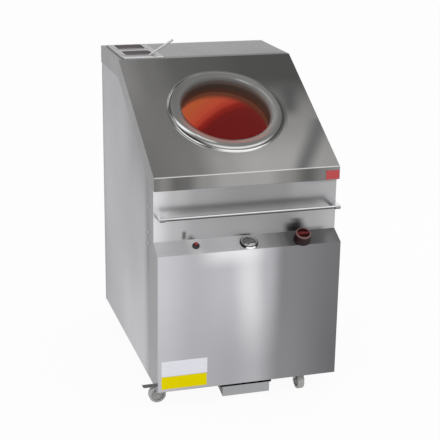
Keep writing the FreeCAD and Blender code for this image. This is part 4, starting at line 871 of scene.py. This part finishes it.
def dialTicks(look, place):
    # every tick is a thin bar that runs inwards from the outer radius along its angle, and
    # the angles share out the sweep evenly; all the bars are one mesh
    count = look["ticks"] + 1
    angle = np.radians(look["start"] - look["sweep"] * np.arange(count) / look["ticks"])
    length = np.where(np.arange(count) % look["longEvery"] == 0, look["long"], look["short"])
    out = np.stack([np.cos(angle), np.sin(angle)], 1)
    side = np.stack([-out[:, 1], out[:, 0]], 1) * look["wide"] / 2
    far, near = out * look["outer"], out * (look["outer"] - length)[:, None]
    flat = np.stack([near - side, far - side, far + side, near + side], 1).reshape(-1, 2)
    bottom = np.column_stack([flat, np.zeros(len(flat))])
    top = np.column_stack([flat, np.full(len(flat), look["thick"])])
    points = np.concatenate([bottom, top]) @ place[:3, :3].T + place[:3, 3]
    corner = np.arange(len(flat)).reshape(-1, 4)
    after = np.roll(corner, -1, axis=1)
    raised, raisedAfter = corner + len(flat), after + len(flat)
    sides = np.stack([corner, after, raisedAfter, raised], axis=-1).reshape(-1, 4)
    faces = np.concatenate([raised, corner[:, ::-1], sides]).tolist()
    buildPiece("dial_ticks", points, faces, paints["black_plastic"], "cabinet")


def dialNumber(look, place, number, angle):
    # one number, upright, its middle on the numbers' circle
    curve = bpy.data.curves.new(f"number_{number}", "FONT")
    curve.body = str(number)
    curve.size = look["numberSize"]
    curve.align_x, curve.align_y = "CENTER", "CENTER"
    curve.extrude = look["numberDepth"]
    text = bpy.data.objects.new("number", curve)
    bpy.context.scene.collection.objects.link(text)
    bpy.context.view_layer.update()
    mesh = bpy.data.meshes.new_from_object(text)
    bpy.data.objects.remove(text)
    centre = Matrix.Translation((look["numberRadius"] * math.cos(angle),
                                 look["numberRadius"] * math.sin(angle), look["numberLift"]))
    mesh.transform(Matrix(place.tolist()) @ centre)
    placePiece(f"dial_number_{number}", mesh, paints["black_plastic"], "cabinet")


dialPlace = dialFrame(dial["level"])
dialTicks(dial, dialPlace)
numberTurns = np.radians(np.linspace(dial["start"], dial["start"] - dial["sweep"],
                                     len(dial["numbers"])))
for number, angle in zip(dial["numbers"], numberTurns):
    dialNumber(dial, dialPlace, number, angle)
print("dial marked")

# Floor and light. "floorGlow" and "sky" share out what is seen of the white room and what
# lights the object.

stage = {"floorHalf": 30.0, "floorColour": (0.86, 0.86, 0.87, 1.0), "floorGlow": 0.94,
         "white": (1, 1, 1, 1), "sky": 0.8}
lamps = {
    "key": {"place": (-1.6, -2.6, 3.4), "size": 1.6, "power": 18.0, "mirrored": True},
    "rim": {"place": (2.4, 1.0, 2.6), "size": 1.4, "power": 8.0, "mirrored": False},
}
lampTarget = (0.0, 0.0, 0.8)


def seenRays(tree):
    # rays that show the backdrop itself: from the camera, off a mirror, or through glass
    path = addNode(tree, "ShaderNodeLightPath")
    seen = maths(tree, "MAXIMUM", path.outputs["Is Camera Ray"], path.outputs["Is Glossy Ray"])
    return maths(tree, "MAXIMUM", seen, path.outputs["Is Transmission Ray"])


def makeFloor(look):
    half = look["floorHalf"]
    mesh = bpy.data.meshes.new("floor")
    mesh.from_pydata([(-half, -half, 0), (half, -half, 0), (half, half, 0), (-half, half, 0)],
                     [], [(0, 1, 2, 3)])
    floor = bpy.data.objects.new("floor", mesh)
    bpy.context.scene.collection.objects.link(floor)
    material = bpy.data.materials.new("pale_floor")
    material.use_nodes = True
    tree = material.node_tree
    tree.nodes.clear()
    dull = addNode(tree, "ShaderNodeBsdfDiffuse", {"Color": look["floorColour"]})
    glow = addNode(tree, "ShaderNodeEmission", {"Color": look["white"], "Strength": 1.0})
    mixed = addNode(tree, "ShaderNodeMixShader",
                    {0: maths(tree, "MULTIPLY", seenRays(tree), look["floorGlow"]),
                     1: dull.outputs[0], 2: glow.outputs[0]})
    addNode(tree, "ShaderNodeOutputMaterial", {"Surface": mixed.outputs[0]})
    mesh.materials.append(material)


def makeWorld(look):
    world = bpy.data.worlds.new("studio")
    bpy.context.scene.world = world
    world.use_nodes = True
    tree = world.node_tree
    tree.nodes.clear()
    strength = mapped(tree, seenRays(tree), (0, 1), (look["sky"], 1.0))
    back = addNode(tree, "ShaderNodeBackground", {"Color": look["white"], "Strength": strength})
    addNode(tree, "ShaderNodeOutputWorld", {"Surface": back.outputs[0]})


def makeLamp(name, look):
    data = bpy.data.lights.new(name, "AREA")
    data.size = look["size"]
    data.energy = look["power"]
    lamp = bpy.data.objects.new(name, data)
    bpy.context.scene.collection.objects.link(lamp)
    lamp.visible_glossy = look["mirrored"]
    toward = Vector(lampTarget) - Vector(look["place"])
    lamp.matrix_world = (Matrix.Translation(look["place"])
                         @ toward.to_track_quat("-Z", "Y").to_matrix().to_4x4())


makeFloor(stage)
makeWorld(stage)
for name, look in lamps.items():
    makeLamp(name, look)
bpy.context.scene.view_settings.view_transform = "Standard"
print("floor and light set")
